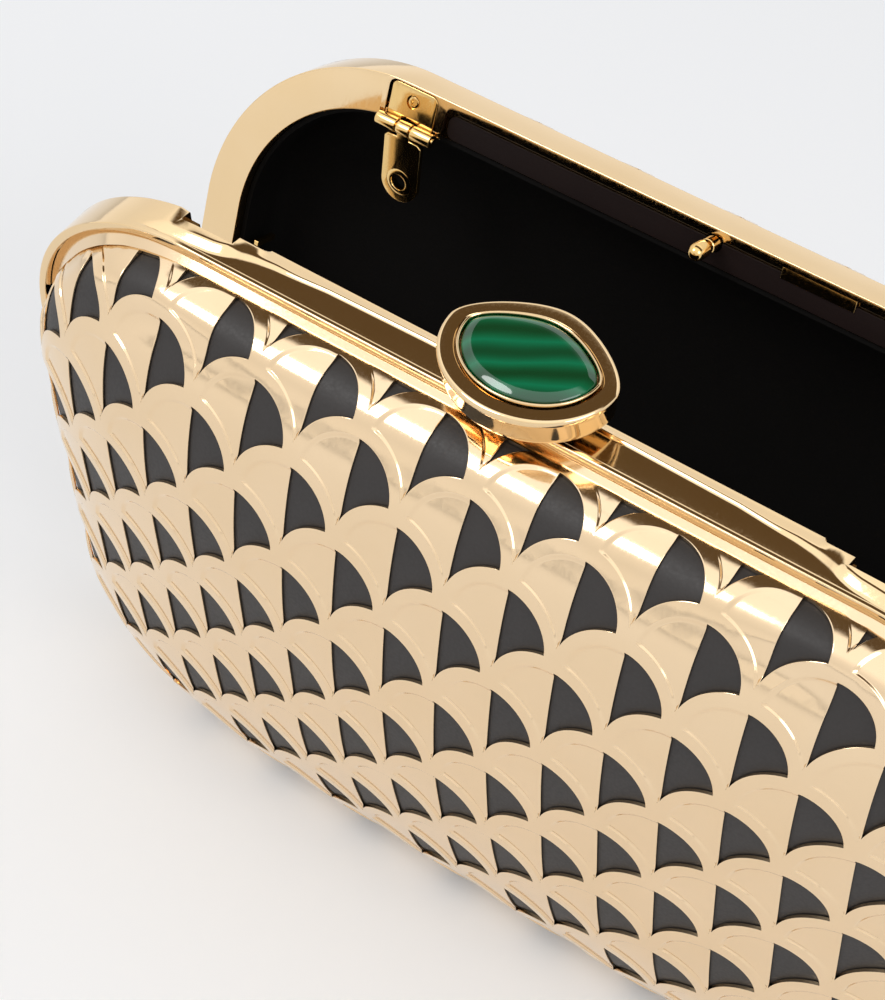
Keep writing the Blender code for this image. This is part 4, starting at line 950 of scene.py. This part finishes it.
def box(low, high, roll=0.0):
    if roll:
        outline = [(low[0], low[2]), (high[0], low[2]), (high[0], high[2]), (low[0], high[2])]
        return plate(outline, low[1], high[1], roll)
    corners = list(itertools.product(*zip(low, high)))
    faces = [(0, 1, 3, 2), (4, 6, 7, 5), (0, 4, 5, 1), (2, 3, 7, 6), (0, 2, 6, 4), (1, 5, 7, 3)]
    return solid(corners, faces)


def rounded(left, right, low, high, radius, steps=8):
    """A rectangle with round corners, anticlockwise."""
    points = []
    centres = ((right, low, -90), (right, high, 0), (left, high, 90), (left, low, 180))
    for x, z, first in centres:
        middle = (x - math.copysign(radius, x - (left + right) / 2),
                  z - math.copysign(radius, z - (low + high) / 2))
        turns = [math.radians(first + 90 * n / steps) for n in range(steps + 1)]
        points += around(middle, radius, turns)
    return points


def evaluated(holder, *helpers):
    """The mesh that an object's modifiers make; the object and its helpers are used up."""
    depsgraph = bpy.context.evaluated_depsgraph_get()
    result = bpy.data.meshes.new_from_object(holder.evaluated_get(depsgraph))
    for item in (holder, *helpers):
        bpy.data.objects.remove(item, do_unlink=True)
    return softened(result)


def carved(mesh, *tools):
    """A mesh cut by others, which are used up."""
    holders = [placed("carving", part) for part in (mesh, *tools)]
    for tool in holders[1:]:
        step = holders[0].modifiers.new("carve", "BOOLEAN")
        step.operation = "DIFFERENCE"
        step.solver = "EXACT"
        step.object = tool
    return evaluated(*holders)


def together(*meshes):
    """Several closed meshes as one."""
    body = bmesh.new()
    for mesh in meshes:
        body.from_mesh(mesh)
    result = bpy.data.meshes.new("together")
    body.to_mesh(result)
    body.free()
    return softened(result)


print("edges are rounded in", len(EDGE_STEPS) - 1, "steps")

# %% [markdown]
# Each frame is one cast ring with an L-shaped section: an outer wall and a flat flange that
# meets the other frame. It's drawn by carrying the section round the outline. On the front
# frame the section changes along the top, where a shallow bed dips in from both ends behind a
# thin front lip, and a low rounded lip closes it at the back.

# %% Section and outline of a frame
RING_DEPTH, RING_WALL, FLANGE_WIDTH, FLANGE_BACK, FACE_GAP = 6.9, 1.35, 6.8, 2.45, 0.15
STRAIGHT_X, STRAIGHT_Z = CASE_WIDTH / 2 - CORNER_RADIUS, CASE_HEIGHT / 2 - CORNER_RADIUS
CORNER_STEPS, TOP_STEP, PLAIN_STEP = 44, 0.75, 2.5
BED_DEPTH, BED_FRONT, BED_UNDER, TONGUE_REACH = 1.0, 5.95, 1.6, 0.97
BED_END, LEDGE_END, BACK_LIP_HALF, TONGUE_HALF = 66.0, 61.6, 50.8, 46.9
SCOOP_X = (17.0, 34.0, 43.0, 46.0, 49.0, 53.0, 58.0, 63.0)
SCOOP_WIDTH = (4.35, 4.0, 3.2, 2.6, 1.7, 0.65, 0.2, 0.0)


def stations(top_step):
    """Places round the outline, each with the direction towards the inside."""
    top = max(2, round(2 * STRAIGHT_X / top_step))
    places = [(STRAIGHT_X - 2 * STRAIGHT_X * n / top, CASE_HEIGHT) for n in range(top)]
    inward = [(0.0, -1.0)] * top
    for x, z, first in ((-1, 1, 90), (-1, -1, 180), (1, -1, 270), (1, 1, 360)):
        turns = [math.radians(first + 90 * n / CORNER_STEPS) for n in range(CORNER_STEPS)]
        centre = (x * STRAIGHT_X, CASE_HEIGHT / 2 + z * STRAIGHT_Z)
        places += around(centre, CORNER_RADIUS, turns)
        inward += around((0.0, 0.0), -1.0, turns)
    return np.array(places), np.array(inward)


def ramp(x, half, width):
    """1 in the middle and 0 beyond half, with a soft step of the given width."""
    return float(smooth(np.array((half - abs(x)) / width)))


def front_section(x, top):
    """Corners of the section as inset from the outline, Y and radius."""
    if not top:
        x = CASE_WIDTH
    bed = ramp(x, BED_END, 8.0)
    scoop = float(np.interp(abs(x), SCOOP_X, SCOOP_WIDTH))
    ledge, lip, tongue = (
        ramp(x, half, width)
        for half, width in ((LEDGE_END, 2.0), (BACK_LIP_HALF, 0.9), (TONGUE_HALF, 0.9))
    )
    floor, wall = BED_DEPTH * bed, RING_WALL + (BED_UNDER - RING_WALL) * bed
    back = -BED_FRONT + 0.35 + scoop
    bulge = 1.2 * ramp(x, BED_END, 4.0) * (1 - ramp(x, 50.0, 12.0))
    crest = min(back + 0.45 + bulge, -0.8)
    rise, fall = 0.2 * ledge + 0.5 * lip, 0.75 * ledge + 0.55 * tongue
    meeting = TONGUE_REACH * tongue - FACE_GAP
    return [
        (0.0, -RING_DEPTH, 0.3), (0.0, -BED_FRONT, 0.28), (floor, -BED_FRONT + 0.25, 0.3),
        (floor, back, 0.4), (rise, crest, 0.4), (fall, 0.25 * tongue - FACE_GAP, 0.4),
        (2.0 - 0.55 * tongue, meeting, 0.3), (6.4, meeting, 0.2), (6.5, -FACE_GAP, 0.05),
        (FLANGE_WIDTH, -FACE_GAP, 0.2), (FLANGE_WIDTH, -FLANGE_BACK, 0.2),
        (wall, -FLANGE_BACK, 0.2), (wall, -RING_DEPTH, 0.3),
    ]


def rear_section(x, top):
    """The same all round, whatever the place."""
    return [
        (0.0, RING_DEPTH, 0.3), (0.0, FACE_GAP, 0.2), (FLANGE_WIDTH, FACE_GAP, 0.25),
        (FLANGE_WIDTH, FLANGE_BACK, 0.2), (RING_WALL, FLANGE_BACK, 0.2),
        (RING_WALL, RING_DEPTH, 0.3),
    ]


def rounded_section(corners, steps=4):
    points = []
    spots = [np.array(corner[:2]) for corner in corners]
    for n, (spot, corner) in enumerate(zip(spots, corners)):
        before, after = spots[n - 1] - spot, spots[(n + 1) % len(spots)] - spot
        reach = [max(min(corner[2], 0.45 * np.linalg.norm(way)), 0.001) for way in (before, after)]
        start = spot + before / max(np.linalg.norm(before), 1e-9) * reach[0]
        end = spot + after / max(np.linalg.norm(after), 1e-9) * reach[1]
        for k in range(steps + 1):
            t = k / steps
            points.append(start * (1 - t) ** 2 + spot * 2 * t * (1 - t) + end * t * t)
    return points


def ring_mesh(section, top_step):
    rings = []
    for place, way in zip(*stations(top_step)):
        profile = rounded_section(section(place[0], place[1] > CASE_HEIGHT / 2))
        spots = [(place + way * inset, y) for inset, y in profile]
        rings.append([(spot[0], y, spot[1]) for spot, y in spots])
    return skin(rings, closed=True)


print("outline has", len(stations(TOP_STEP)[0]), "places")

# %% [markdown]
# The rings are then cut for their fittings. Both lose what would go below the floor, and get a
# seat for each bottom hinge and each lug's barrel. The front one has slots for the lugs and the
# latch; the rear one has a rebate, a hole for the catch pin and a pocket for each lug's leaf.

# %% Seats that both frames share
HINGE_X, HINGE_TOP, HINGE_SEAT_HALF, BARREL_BORE = 38.0, 6.1, 12.3, 1.74
LUG_X, LUG_HALF, LUG_AXIS_Y, LUG_AXIS_Z = 54.85, 4.35, -0.35, 109.6
LUG_SEAT_HALF, LUG_NOTCH, LUG_SLOT_HALF, PIN_Z, ABOVE = 5.55, (50.8, 60.2), 3.8, 114.0, 120.0
LATCH_SLOT = ((-3.4, -2.05, 111.0), (3.4, -0.75, ABOVE))
PIN_SLOT = ((-1.5, -5.6, 112.5), (1.5, 3.0, ABOVE))


def floor_cutter(half):
    """A block below the floor, given in the leaned half's own place."""
    block = box((-200.0, -200.0, -50.0), (200.0, 200.0, 0.0))
    block.transform(half.inverted())
    return block


def hinge_seat(x, side):
    """A pocket for the leaf and a bore for the barrel; side is 1 on the rear frame."""
    near, far = sorted((-side, 1.65 * side))
    left, right = x - HINGE_SEAT_HALF, x + HINGE_SEAT_HALF
    return [
        box((left, near, -1.0), (right, far, 6.4)), rod((0.0, 0.0), left, right, BARREL_BORE, 0.0)
    ]


def lug_seat(x, near, far):
    return box((x - LUG_SEAT_HALF, near, 108.6), (x + LUG_SEAT_HALF, far, 111.05))


def pin_hole():
    return rod((0.0, PIN_Z), 0.5, 5.0, 1.5, 0.0, along="Y")


print("bottom hinges are", 2 * HINGE_X, "mm apart, and lugs", 2 * LUG_X, "mm")

# %% Front frame
cutters = [floor_cutter(FRONT_HALF)]
for sign in (-1, 1):
    near, far = sorted(sign * reach for reach in LUG_NOTCH)
    x = sign * LUG_X
    cutters += [
        box((near, -2.1, 114.4), (far, 1.0, ABOVE)), lug_seat(x, -1.8, 1.0),
        box((x - LUG_SLOT_HALF, -1.8, LUG_AXIS_Z), (x + LUG_SLOT_HALF, 1.0, ABOVE)),
        *hinge_seat(sign * HINGE_X, -1),
    ]
cutters += [box(*PIN_SLOT), box(*LATCH_SLOT)]
front_mesh = carved(ring_mesh(front_section, TOP_STEP), *cutters)
finish_piece("front_ring", front_mesh, PALE_GOLD, "front_half", "front_frame")

# %% Rear frame
REBATE_HALF, REBATE_TOP, REBATE_DEPTH = 48.65, 115.9, 1.75

rebate = rounded(-REBATE_HALF, REBATE_HALF, 107.0, REBATE_TOP, 1.5)
cutters = [floor_cutter(REAR_HALF), plate(rebate, -1.0, REBATE_DEPTH, SHARP), pin_hole()]
for sign in (-1, 1):
    x = sign * LUG_X
    pocket = rounded(x - LUG_HALF - 0.35, x + LUG_HALF + 0.35, 104.0, 116.65, 1.3)
    cutters += [
        plate(pocket, -1.0, 1.45, SHARP), lug_seat(x, -1.0, 1.1), *hinge_seat(sign * HINGE_X, 1)
    ]
rear_mesh = carved(ring_mesh(rear_section, PLAIN_STEP), *cutters)
finish_piece("rear_ring", rear_mesh, PALE_GOLD, "root", "rear_frame")

# %% [markdown]
# Under each cage lies a thin moulded shell, covered with calf on the outside. A second one
# inside carries the lining. Both follow the dome with the same flat crown. The front shell is
# notched at the top, so that the catch pin can pass when the case shuts.

# %% Shells and linings
SHELL_SIDES, SHELL_RINGS, SHELL_DROP, SHELL_THICKNESS = 200, 44, 0.75, 0.8
SHELL_RIM, LINING_RIM = 2.75, 2.0
PIN_NOTCH = ((-1.8, -5.7, 111.5), (1.8, 0.0, ABOVE))
lining_dome = Dome(8.35, 17.2, 2.45, 0.0, (1.5, 1.5, 1.5))


def shell_mesh(dome, drop, rim):
    """A shell at a drop below the dome, with a straight foot down to its rim."""
    outer, inner = [], []
    for share in np.sin(np.linspace(0.02, math.pi / 2, SHELL_RINGS)):
        x, z = dome.contour(share, SHELL_SIDES)
        out = dome.normals(x, z)
        outside = dome.points(x, z) - out * drop
        outer.append(outside)
        inner.append(outside - out * SHELL_THICKNESS)
    foot, inner_foot = outer[-1].copy(), inner[-1].copy()
    foot[:, 1] = inner_foot[:, 1] = -rim
    return skin(outer + [foot, inner_foot] + inner[::-1], angle=50.0)


for word, body in HALVES:
    shell = shell_mesh(cage_dome, SHELL_DROP, SHELL_RIM)
    lining = shell_mesh(lining_dome, 0.0, LINING_RIM)
    if word == "front":
        shell = carved(shell, box(*PIN_NOTCH))
    else:
        shell.transform(TURNED)
        lining.transform(TURNED)
    finish_piece(f"{word}_shell", shell, SHELL_LEATHER, body, f"{word}_leather")
    finish_piece(f"{word}_lining_shell", lining, LINING_LEATHER, body, f"{word}_lining")

# %% Strip in the rear frame, near-black as a painted dark reflection
strip = carved(plate(rounded(-48.35, 48.35, 110.5, 114.45, 1.4), 1.25, 1.6), pin_hole())
finish_piece("rear_strip", strip, PAINTED_REFLECTION_STRIP, "root", "rear_lip_leather")

# %% [markdown]
# The clasp is a cap that is pushed down. Its plate is polished flat, so it mirrors the world's
# brown patch, and only its rounded edge catches light. A thin collar holds the stone, which has
# a flat table with a bevel round it.

# %% Clasp
CLASP_HALF, CLASP_FRONT, CLASP_REAR, CLASP_Y = 13.6, 11.7, 9.0, 0.2
CLASP_TAPER, CLASP_SIDES = 0.32, 128
CAP_LEVELS = (
    (0.95, 118.1), (0.68, 118.17), (0.55, 118.4), (0.5, 119.0), (0.5, 121.5), (0.42, 121.72),
    (0.15, 121.85), (0.03, 122.0), (0.0, 122.2), (0.0, 122.6), (0.05, 122.8), (0.18, 122.97),
    (0.38, 123.07), (0.6, 123.1), (2.3, 123.1), (2.4, 123.02), (2.4, 122.2),
)
COLLAR_LEVELS = (
    (2.72, 122.5), (2.72, 123.35), (2.78, 123.5), (2.92, 123.58), (3.06, 123.5), (3.14, 123.35),
    (3.14, 122.5),
)
GEM_LEVELS = (
    (3.45, 122.5), (3.42, 123.2), (3.5, 123.34), (3.75, 123.5), (4.45, 123.86), (4.65, 123.93),
    (4.9, 123.96), (7.0, 124.0), (8.4, 124.02),
)


def drop_outline(inset):
    """The clasp from above: a round front that tapers to a blunt point at the rear."""
    points = []
    for n in range(CLASP_SIDES):
        turn = 2 * math.pi * n / CLASP_SIDES
        across, out = math.cos(turn), math.sin(turn)
        reach = CLASP_REAR if out > 0 else CLASP_FRONT
        taper = 1 - CLASP_TAPER * max(out, 0.0) ** 1.5
        points.append(((CLASP_HALF - inset) * across * taper, CLASP_Y + (reach - inset) * out))
    return points


def drop_solid(levels, closed=False, angle=32.0):
    """A solid from pairs of inset and height."""
    return skin([stood(drop_outline(inset), level, "Z") for inset, level in levels], closed, angle)


cap = carved(drop_solid(CAP_LEVELS), box((-8.0, -6.4, 117.0), (8.0, 1.0, 121.0)))
finish_piece("clasp_button", cap, PALE_GOLD, "clasp", "clasp_cap")
collar = drop_solid(COLLAR_LEVELS, closed=True, angle=60.0)
finish_piece("clasp_collar", collar, PALE_GOLD, "clasp", "clasp_bezel")
finish_piece("clasp_gem", drop_solid(GEM_LEVELS, angle=60.0), STONE, "clasp", "clasp_stone")
latch = plate(rounded(-3.0, 3.0, 112.2, 120.7, 0.3), -1.65, -1.15, 0.08)
latch = carved(latch, plate(rounded(-1.5, 1.5, 113.2, 116.5, 0.3), -2.0, -0.8, SHARP))
finish_piece("clasp_latch", latch, STEEL, "clasp", "latch_plate")
base = carved(box((-7.0, -5.5, 115.8), (7.0, -0.15, 117.9), 0.25), box(*LATCH_SLOT))
finish_piece("clasp_block", base, PALE_GOLD, "front_half", "clasp_base")

# %% [markdown]
# The lugs are stamped and rolled from brass sheet. A leaf is screwed into a pocket of the rear
# frame, its two knuckles and the tab's one turn on a shared pin, and the tab ends in an eyelet.

# %% Leaves and pins of the lugs
LUG_KNUCKLE, LUG_SCREW_Z, LUG_LEAF, SINK_RADIUS, PIN_RADIUS = 1.15, 113.9, (0.45, 1.15), 1.22, 0.5


def knuckle(x, half, centre):
    return rod(centre, x - half, x + half, LUG_KNUCKLE, 0.16)


leaves, pins = [], []
for x in (-LUG_X, LUG_X):
    leaf = carved(
        plate(rounded(x - LUG_HALF, x + LUG_HALF, 108.4, 116.3, 1.0), *LUG_LEAF, 0.16),
        box((x - 1.6, -0.5, 107.0), (x + 1.6, 2.0, LUG_AXIS_Z + 1.5)),
        box((x - 6.0, -0.5, 106.0), (x + 6.0, 2.0, LUG_AXIS_Z)),
        rod((x, LUG_SCREW_Z), -1.0, 1.0, SINK_RADIUS, 0.0, along="Y"),
    )
    barrels = [knuckle(x + way * 3.375, 1.875, (LUG_AXIS_Y, LUG_AXIS_Z)) for way in (-1, 1)]
    leaves.append(together(leaf, *barrels))
    pins.append(rod((LUG_AXIS_Y, LUG_AXIS_Z), x - 5.5, x + 5.5, PIN_RADIUS, 0.18))
for name, parts, node in (("lug_leaves", leaves, "leaf"), ("lug_pins", pins, "pin")):
    names = [f"{word}_lug_{node}" for word in ("left", "right")]
    finish_piece(name, together(*parts), YELLOW_GOLD, "root", *names)

# %% Tabs and eyelets of the lugs
TAB_HALF, TAB_ROUND, TAB_STEPS, EYE_DROP, EYE_RADIUS = 3.5, 10.1, 24, 9.9, 2.0
EYELET = (
    (-0.45, 1.3), (0.45, 1.3), (0.68, 1.42), (0.72, 1.7), (0.62, 2.25), (0.55, 2.35),
    (0.52, 1.99), (-0.52, 1.99), (-0.55, 2.35), (-0.62, 2.25), (-0.72, 1.7), (-0.68, 1.42),
)
hung = REAR_HALF @ Matrix.Translation((0.0, LUG_AXIS_Y * MM, LUG_AXIS_Z * MM))
PLACES["left_lug"] = PLACES["right_lug"] = hung @ Matrix.Rotation(LEAN, 4, "X")


def tab_outline(x):
    turns = [math.pi + math.pi * n / TAB_STEPS for n in range(1, TAB_STEPS)]
    outline = [(x - TAB_HALF, -TAB_ROUND), *around((x, -TAB_ROUND), TAB_HALF, turns)]
    outline += [(x + TAB_HALF, -TAB_ROUND), (x + TAB_HALF, -2.3), (x + TAB_HALF - 0.6, -1.7)]
    outline += [(x + 1.2, -1.65), (x + 1.15, 0.0), (x - 1.15, 0.0), (x - 1.2, -1.65)]
    return outline + [(x - TAB_HALF + 0.6, -1.7), (x - TAB_HALF, -2.3)]


for word, x in (("left", -LUG_X), ("right", LUG_X)):
    tab = plate(tab_outline(x), -0.5, 0.5, 0.2)
    tab = carved(tab, rod((x, -EYE_DROP), -2.0, 2.0, EYE_RADIUS, 0.0, along="Y"))
    tab = together(tab, knuckle(x, 1.2, (0.0, 0.0)))
    finish_piece(f"{word}_tab", tab, YELLOW_GOLD, f"{word}_lug", f"{word}_lug_tab")
    eyelet = lathed((x, -EYE_DROP), EYELET, closed=True, angle=50.0)
    finish_piece(f"{word}_eye", eyelet, YELLOW_GOLD, f"{word}_lug", f"{word}_lug_eyelet")

# %% [markdown]
# Screws and hinge knuckles repeat, so they're made once and copied to a list of places by a
# small node tree. Each screw gets its own turn, as no two are driven home to the same angle.

# %% Copies on points
COPY_INPUTS = (
    ("Places", "Geometry"), ("Piece", "Object"), ("Turn", "Float"), ("Seed", "Int"),
    ("Finish", "Material"),
)


def copying_tree():
    tree = bpy.data.node_groups.new("copies on points", "GeometryNodeTree")
    sockets = {
        name: tree.interface.new_socket(
            name, in_out="INPUT", socket_type="NodeSocket" + kind
        ).identifier
        for name, kind in COPY_INPUTS
    }
    tree.interface.new_socket("Copies", in_out="OUTPUT", socket_type="NodeSocketGeometry")
    start = add(tree, "NodeGroupInput").outputs
    piece = add(tree, "GeometryNodeObjectInfo", Object=start["Piece"])
    turn = add(
        tree, "FunctionNodeRandomValue", {"data_type": "FLOAT"},
        i3=start["Turn"], Seed=start["Seed"],
    )
    about = add(tree, "ShaderNodeCombineXYZ", Y=turn.outputs[1])
    copies = add(
        tree, "GeometryNodeInstanceOnPoints", Points=start["Places"],
        Instance=piece.outputs["Geometry"], Rotation=about.outputs[0],
    )
    real = add(tree, "GeometryNodeRealizeInstances", Geometry=copies.outputs[0])
    dressed = add(
        tree, "GeometryNodeSetMaterial", Geometry=real.outputs[0], Material=start["Finish"]
    )
    tree.links.new(dressed.outputs[0], add(tree, "NodeGroupOutput").inputs[0])
    return tree, sockets


COPIES, COPY_SOCKETS = copying_tree()


def copied(piece_mesh, places, turn, seed, finish):
    """One mesh with a copy of the piece at every place, in millimetres."""
    points = bpy.data.meshes.new("places")
    points.from_pydata([tuple(v * MM for v in place) for place in places], [], [])
    piece, holder = placed("pattern_piece", piece_mesh), placed("places", points)
    step = holder.modifiers.new("copies", "NODES")
    step.node_group = COPIES
    for name, value in (("Piece", piece), ("Turn", turn), ("Seed", seed), ("Finish", finish)):
        step[COPY_SOCKETS[name]] = value
    return evaluated(holder, piece)


print("copying tree has", len(COPIES.nodes), "nodes")

# %% Screws
SCREW_X, SCREW_Z, SCREW_Y, LUG_SCREW_Y = 8.5, 4.0, 0.78, 0.58
HEAD_RADIUS, HEAD_DEPTH, SHANK_RADIUS, SHANK_END = 0.95, 0.4, 0.5, 1.9
STAR_SIDES, STAR_RADIUS, STAR_WAVE = 36, 0.5, 0.17


def screw_mesh(side):
    """A flat-headed screw with a six-pointed recess, its head towards the meeting plane."""
    star = []
    for n in range(STAR_SIDES):
        turn = 2 * math.pi * n / STAR_SIDES
        reach = STAR_RADIUS + STAR_WAVE * math.cos(6 * turn)
        star.append((reach * math.cos(turn), reach * math.sin(turn)))
    head = rod((0.0, 0.0), 0.0, HEAD_DEPTH, HEAD_RADIUS, 0.1, along="Y")
    head = carved(head, plate(star, -0.3, 0.25, SHARP))
    screw = together(head, rod((0.0, 0.0), 0.3, SHANK_END, SHANK_RADIUS, 0.1, along="Y"))
    if side < 0:
        screw.transform(Matrix.Rotation(math.pi, 4, "Z"))
    return screw


hinge_spots = [(way * HINGE_X + step * SCREW_X, SCREW_Z) for way in (-1, 1) for step in (-1, 1)]
for word, body, side, seed in (("rear", "root", 1, 4), ("front", "front_half", -1, 9)):
    spots = [(x, SCREW_Y * side, z) for x, z in hinge_spots]
    names = [f"{way}_hinge_{word}_screw_{n}" for way in ("left", "right") for n in (1, 2)]
    if word == "rear":
        spots += [(way * LUG_X, LUG_SCREW_Y, LUG_SCREW_Z) for way in (-1, 1)]
        names = ["left_lug_screw", "right_lug_screw", *names]
    screws = copied(screw_mesh(side), spots, math.pi, seed, YELLOW_GOLD)
    finish_piece(f"{word}_screws", screws, YELLOW_GOLD, body, *names)

# %% Bottom hinges
KNUCKLE_PITCH, KNUCKLE_HALF, KNUCKLE_GAP_HALF, BARREL_RADIUS = 4.86, 2.28, 2.7, 1.1
HINGE_HALF, HINGE_PIN_HALF, HINGE_LEAF, HINGE_SINK = 12.0, 12.1, (0.75, 1.35), (0.2, 1.2)
for side, word, body, steps, others in (
    (1, "rear", "root", (-2, 0, 2), (-1, 1)), (-1, "front", "front_half", (-1, 1), (-2, 0, 2)),
):
    near, far = sorted(side * y for y in HINGE_LEAF)
    sink = sorted(side * y for y in HINGE_SINK)
    leaves = []
    for x in (-HINGE_X, HINGE_X):
        leaf = rounded(x - HINGE_HALF, x + HINGE_HALF, -1.0, HINGE_TOP, 0.6)
        tools = [box((x - 13.0, near - 1.0, -3.0), (x + 13.0, far + 1.0, 0.5))]
        for step in others:
            middle = x + step * KNUCKLE_PITCH
            left, right = middle - KNUCKLE_GAP_HALF, middle + KNUCKLE_GAP_HALF
            tools.append(box((left, near - 1.0, -1.0), (right, far + 1.0, 1.7)))
        for step in (-1, 1):
            tools.append(rod((x + step * SCREW_X, SCREW_Z), *sink, 1.15, 0.0, along="Y"))
        leaves.append(carved(plate(leaf, near, far, 0.14), *tools))
    spots = [(x + step * KNUCKLE_PITCH, 0.0, 0.0) for x in (-HINGE_X, HINGE_X) for step in steps]
    barrel = rod((0.0, 0.0), -KNUCKLE_HALF, KNUCKLE_HALF, BARREL_RADIUS, 0.15)
    hinge_leaves = together(*leaves, copied(barrel, spots, 0.0, 1, YELLOW_GOLD))
    names = [f"{way}_hinge_{word}_leaf" for way in ("left", "right")]
    finish_piece(f"{word}_hinge_leaves", hinge_leaves, YELLOW_GOLD, body, *names)
pins = [
    rod((0.0, 0.0), x - HINGE_PIN_HALF, x + HINGE_PIN_HALF, PIN_RADIUS, 0.15)
    for x in (-HINGE_X, HINGE_X)
]
names = ["left_hinge_pin", "right_hinge_pin"]
finish_piece("hinge_pins", together(*pins), YELLOW_GOLD, "root", *names)

# %% [markdown]
# Last come the small fittings: the turned pin that the clasp catches, a thin strip under the
# rear frame's lip and the guide bars at the sides. The spring is the model's own, in steel.

# %% Small fittings
CATCH_PIN = (
    (2.3, 1.2), (-0.7, 1.2), (-0.82, 1.1), (-0.85, 0.52), (-1.95, 0.52), (-1.98, 1.25),
    (-2.1, 1.38), (-3.9, 1.38), (-4.35, 1.3), (-4.75, 1.1), (-5.05, 0.8), (-5.24, 0.42),
    (-5.3, 0.08),
)
finish_piece("catch_pin", lathed((0.0, PIN_Z), CATCH_PIN), YELLOW_GOLD, "root", "strike_pin")
keeper = box((11.75, 0.98, 113.6), (24.25, 1.24, 115.6), 0.08)
finish_piece("keeper_strip", keeper, YELLOW_GOLD, "root", "keeper_plate")
bars = [
    box((left, 2.4, 76.25), (right, 7.2, 77.15), 0.12)
    for left, right in ((-80.5, -79.6), (79.6, 80.5))
]
names = ["left_side_bar", "right_side_bar"]
finish_piece("side_bars", together(*bars), YELLOW_GOLD, "root", *names)
spring_mesh = bpy.data.objects["clasp_spring"].data
spring_mesh.materials.clear()
spring_mesh.materials.append(STEEL)
